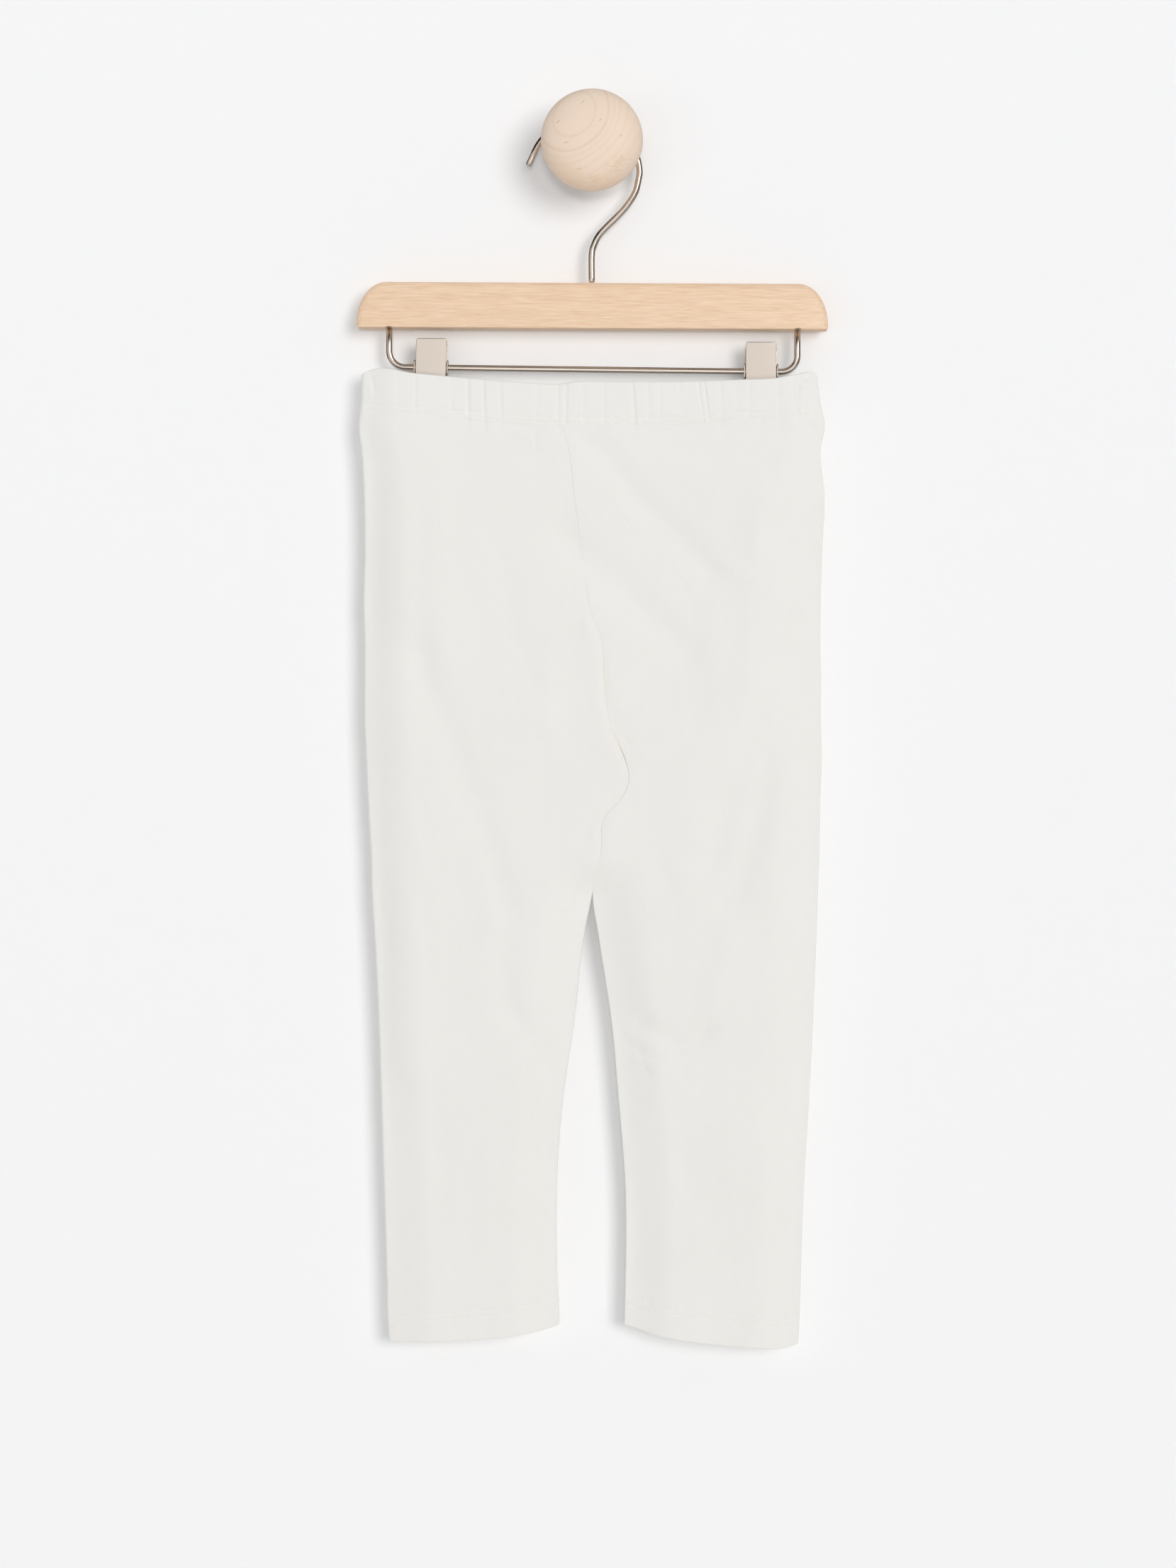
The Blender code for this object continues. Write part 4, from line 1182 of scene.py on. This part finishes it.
def bar_material():
    """Straight-grained pale hardwood under a thin clear coat."""
    made, tree, shader = new_material("hanger_wood", (0.80, 0.60, 0.40), 0.42)
    place = object_place(tree)
    long_grain = noise(tree, stretched(tree, place, 9.0, 240.0, 240.0), 1.0, 4.0, 0.6, 0.3)
    figure = noise(tree, stretched(tree, place, 4.0, 60.0, 60.0), 1.0, 3.0, 0.5, 0.6)
    fibres = noise(tree, stretched(tree, place, 60.0, 1400.0, 1400.0), 1.0, 3.0, 0.65)
    colour = mix_colour(tree, figure, (0.81, 0.585, 0.415), (0.755, 0.53, 0.358))
    streak = remap(tree, long_grain, 0.46, 0.72, 0.0, 0.6)
    colour = mix_colour(tree, streak, colour, (0.70, 0.49, 0.30))
    mark = compute(tree, "MULTIPLY", marks(tree, place, BAR_MARKS), 0.55)
    colour = mix_colour(tree, mark, colour, (0.52, 0.30, 0.19))
    fine = remap(tree, fibres, 0.48, 0.7, 0.0, 0.6)
    colour = mix_colour(tree, fine, colour, (0.88, 0.72, 0.54))
    dark = remap(tree, fibres, 0.47, 0.3, 0.0, 0.55)
    colour = mix_colour(tree, dark, colour, (0.66, 0.42, 0.26))
    # Painted shade of the rod's holes, as near-black ovals on the bar's underside.
    colour = mix_colour(tree, marks(tree, place, ROD_HOLE_SHADE), colour, (0.13, 0.08, 0.05))
    connect(tree, shader, base_color=colour, normal=bump(tree, fibres, 0.15, 0.0001),
            roughness=compute(tree, "MULTIPLY_ADD", fibres, 0.16, 0.34))
    shader.inputs["Specular IOR Level"].default_value = 0.4
    return made


def nickel_material():
    """Satin plated steel: fine brushed marks and a slightly uneven sheen."""
    made, tree, shader = new_material("satin_nickel", (0.70, 0.64, 0.57), 0.3, 1.0)
    place = object_place(tree)
    clouds = noise(tree, place, 60.0, 2.0, 0.5)
    brushed = noise(tree, place, 2600.0, 2.0, 0.6)
    colour = mix_colour(tree, clouds, (0.74, 0.66, 0.585), (0.71, 0.625, 0.55))
    connect(tree, shader, base_color=colour, normal=bump(tree, brushed, 0.008, 0.00003),
            roughness=compute(tree, "MULTIPLY_ADD", brushed, 0.03, 0.22))
    return made


def grained(name, colour, roughness, scale, strength):
    """A paint with a fine grain."""
    made, tree, shader = new_material(name, colour, roughness)
    grain = noise(tree, object_place(tree), scale, 3.0, 0.6)
    connect(tree, shader, normal=bump(tree, grain, strength, 0.0005))
    return made, tree, shader


def stage_face(name, corners, finish, hidden_from):
    """One rectangle of the stage, which the named kinds of rays don't meet."""
    mesh = bpy.data.meshes.new(name)
    mesh.from_pydata(corners, [], [(0, 1, 2, 3)])
    mesh.materials.append(finish)
    made = add_object(name, mesh)
    for kind in hidden_from:
        setattr(made, f"visible_{kind}", False)


def make_stage():
    """Pale wall, seen only from the front, and a pale floor below the object."""
    paint, tree, shader = grained("wall_paint", (0.872, 0.873, 0.878), 0.9, 90.0, 0.03)
    clear = add_node(tree, "ShaderNodeBsdfTransparent")
    behind = add_node(tree, "ShaderNodeNewGeometry").outputs["Backfacing"]
    either = add_node(tree, "ShaderNodeMixShader", None,
                      {0: behind, 1: shader.outputs[0], 2: clear.outputs[0]})
    tree.links.new(either.outputs[0], tree.nodes["Material Output"].inputs["Surface"])
    low = FLOOR_HEIGHT
    stage_face("wall", [(-3, 0, low), (3, 0, low), (3, 0, 1.6), (-3, 0, 1.6)], paint,
               ("shadow", "glossy"))
    floor_paint, _, _ = grained("floor_paint", (0.52, 0.52, 0.52), 0.8, 40.0, 0.05)
    stage_face("floor", [(-4, -5, low), (4, -5, low), (4, 3, low), (-4, 3, low)], floor_paint,
               ("shadow",))


def sun(name, strength, width, toward, colour):
    """Soft distant light from one direction, given as (right, front, up)."""
    data = bpy.data.lights.new(name, "SUN")
    data.energy = strength
    data.angle = math.radians(width)
    data.color = colour
    made = add_object(name, data)
    right, front, up = toward
    way = Vector((-right, front, -up))
    made.rotation_euler = way.to_track_quat("-Z", "Y").to_euler()
    made.visible_glossy = False


def card(name, place, size, brightness, colour=(1.0, 1.0, 1.0)):
    """A pale card that shows only in glossy surfaces, where it makes the metal gleam."""
    data = bpy.data.lights.new(name, "AREA")
    data.shape = "RECTANGLE"
    data.size, data.size_y = size
    data.energy = brightness * math.pi * size[0] * size[1]
    data.color = colour
    made = add_object(name, data)
    made.location = place
    aim = Vector((0.0, 0.0, -0.35)) - Vector(place)
    made.rotation_euler = aim.to_track_quat("-Z", "Y").to_euler()
    made.visible_diffuse = False
    made.visible_camera = False


def make_light():
    world = bpy.data.worlds.new("studio")
    bpy.context.scene.world = world
    world.use_nodes = True
    background = world.node_tree.nodes["Background"]
    background.inputs["Color"].default_value = (0.955, 1.0, 1.045, 1.0)
    background.inputs["Strength"].default_value = 0.455
    world.cycles_visibility.glossy = False
    for row in (("key", 1.28, 26, (0.42, 1, 0.15)), ("front fill", 0.53, 8, (0, 1, 0)),
                ("low fill", 0.90, 70, (0.05, 0.6, -1)), ("left fill", 0.54, 50, (-0.6, 1, -0.5))):
        sun(*row, (1.024, 1.0, 0.976))
    sun("rear fill", 0.89, 30, (0.35, -1, 0.5), (1.0, 1.0, 1.0))
    card("front card", (0.0, -2.4, -0.1), (2.8, 2.2), 0.95)
    card("bright card", (1.2, -2.0, 0.5), (1.2, 1.0), 4.0)
    card("right card", (2.6, -0.6, 0.0), (2.0, 2.0), 0.3, (1.0, 0.86, 0.74))
    for row in (("left card", (-2.4, -1.4, 0), (2.6, 2.4), 0.65),
                ("low card", (0, -1.8, -1.3), (2.4, 1.2), 0.8),
                ("top card", (0, -1, 2), (3, 1.6), 0.35)):
        card(*row, (1.0, 0.9, 0.8))
    card("rear card", (0.0, 2.4, 0.3), (7.0, 3.0), 0.4, (1.0, 0.94, 0.88))
    bpy.context.scene.view_settings.view_transform = "Standard"


def make_camera():
    data = bpy.data.cameras.new("camera")
    data.lens = CAMERA_LENS
    data.sensor_width = CAMERA_SENSOR
    data.clip_end = 50.0
    made = add_object("camera", data)
    made.location = [value * MM for value in CAMERA]
    made.rotation_euler = (math.radians(90), 0.0, 0.0)
    bpy.context.scene.camera = made


make_camera()
make_stage()
make_light()

jersey = jersey_material("ivory_jersey", (0.812, 0.802, 0.772), (0.777, 0.761, 0.726))
thread = thread_material()
knob_wood = knob_material()
bar_wood = bar_material()
nickel = nickel_material()

make_knob(knob_wood)
make_bar(bar_wood)
make_wires(nickel)
for (side_name, place), turn, lean in zip(CLIP_X, (0.0, -0.055), (0.035, 0.0)):
    make_clip(side_name, place, turn, lean, nickel)

right_leg = make_leg("right_leg_panel", -1, jersey)
left_leg = make_leg("left_leg_panel", 1, jersey)
casing = make_casing(jersey)
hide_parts("leg_right", "hem_right")
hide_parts("leg_left", "hem_left")
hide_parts("waistband")

bpy.context.view_layer.update()
band_sewing = sew("band_stitches", casing, band_rows(), thread)
right_sewing = sew("right_hem_stitches", right_leg, hem_rows(-1), thread)
left_sewing = sew("left_hem_stitches", left_leg, hem_rows(1), thread)
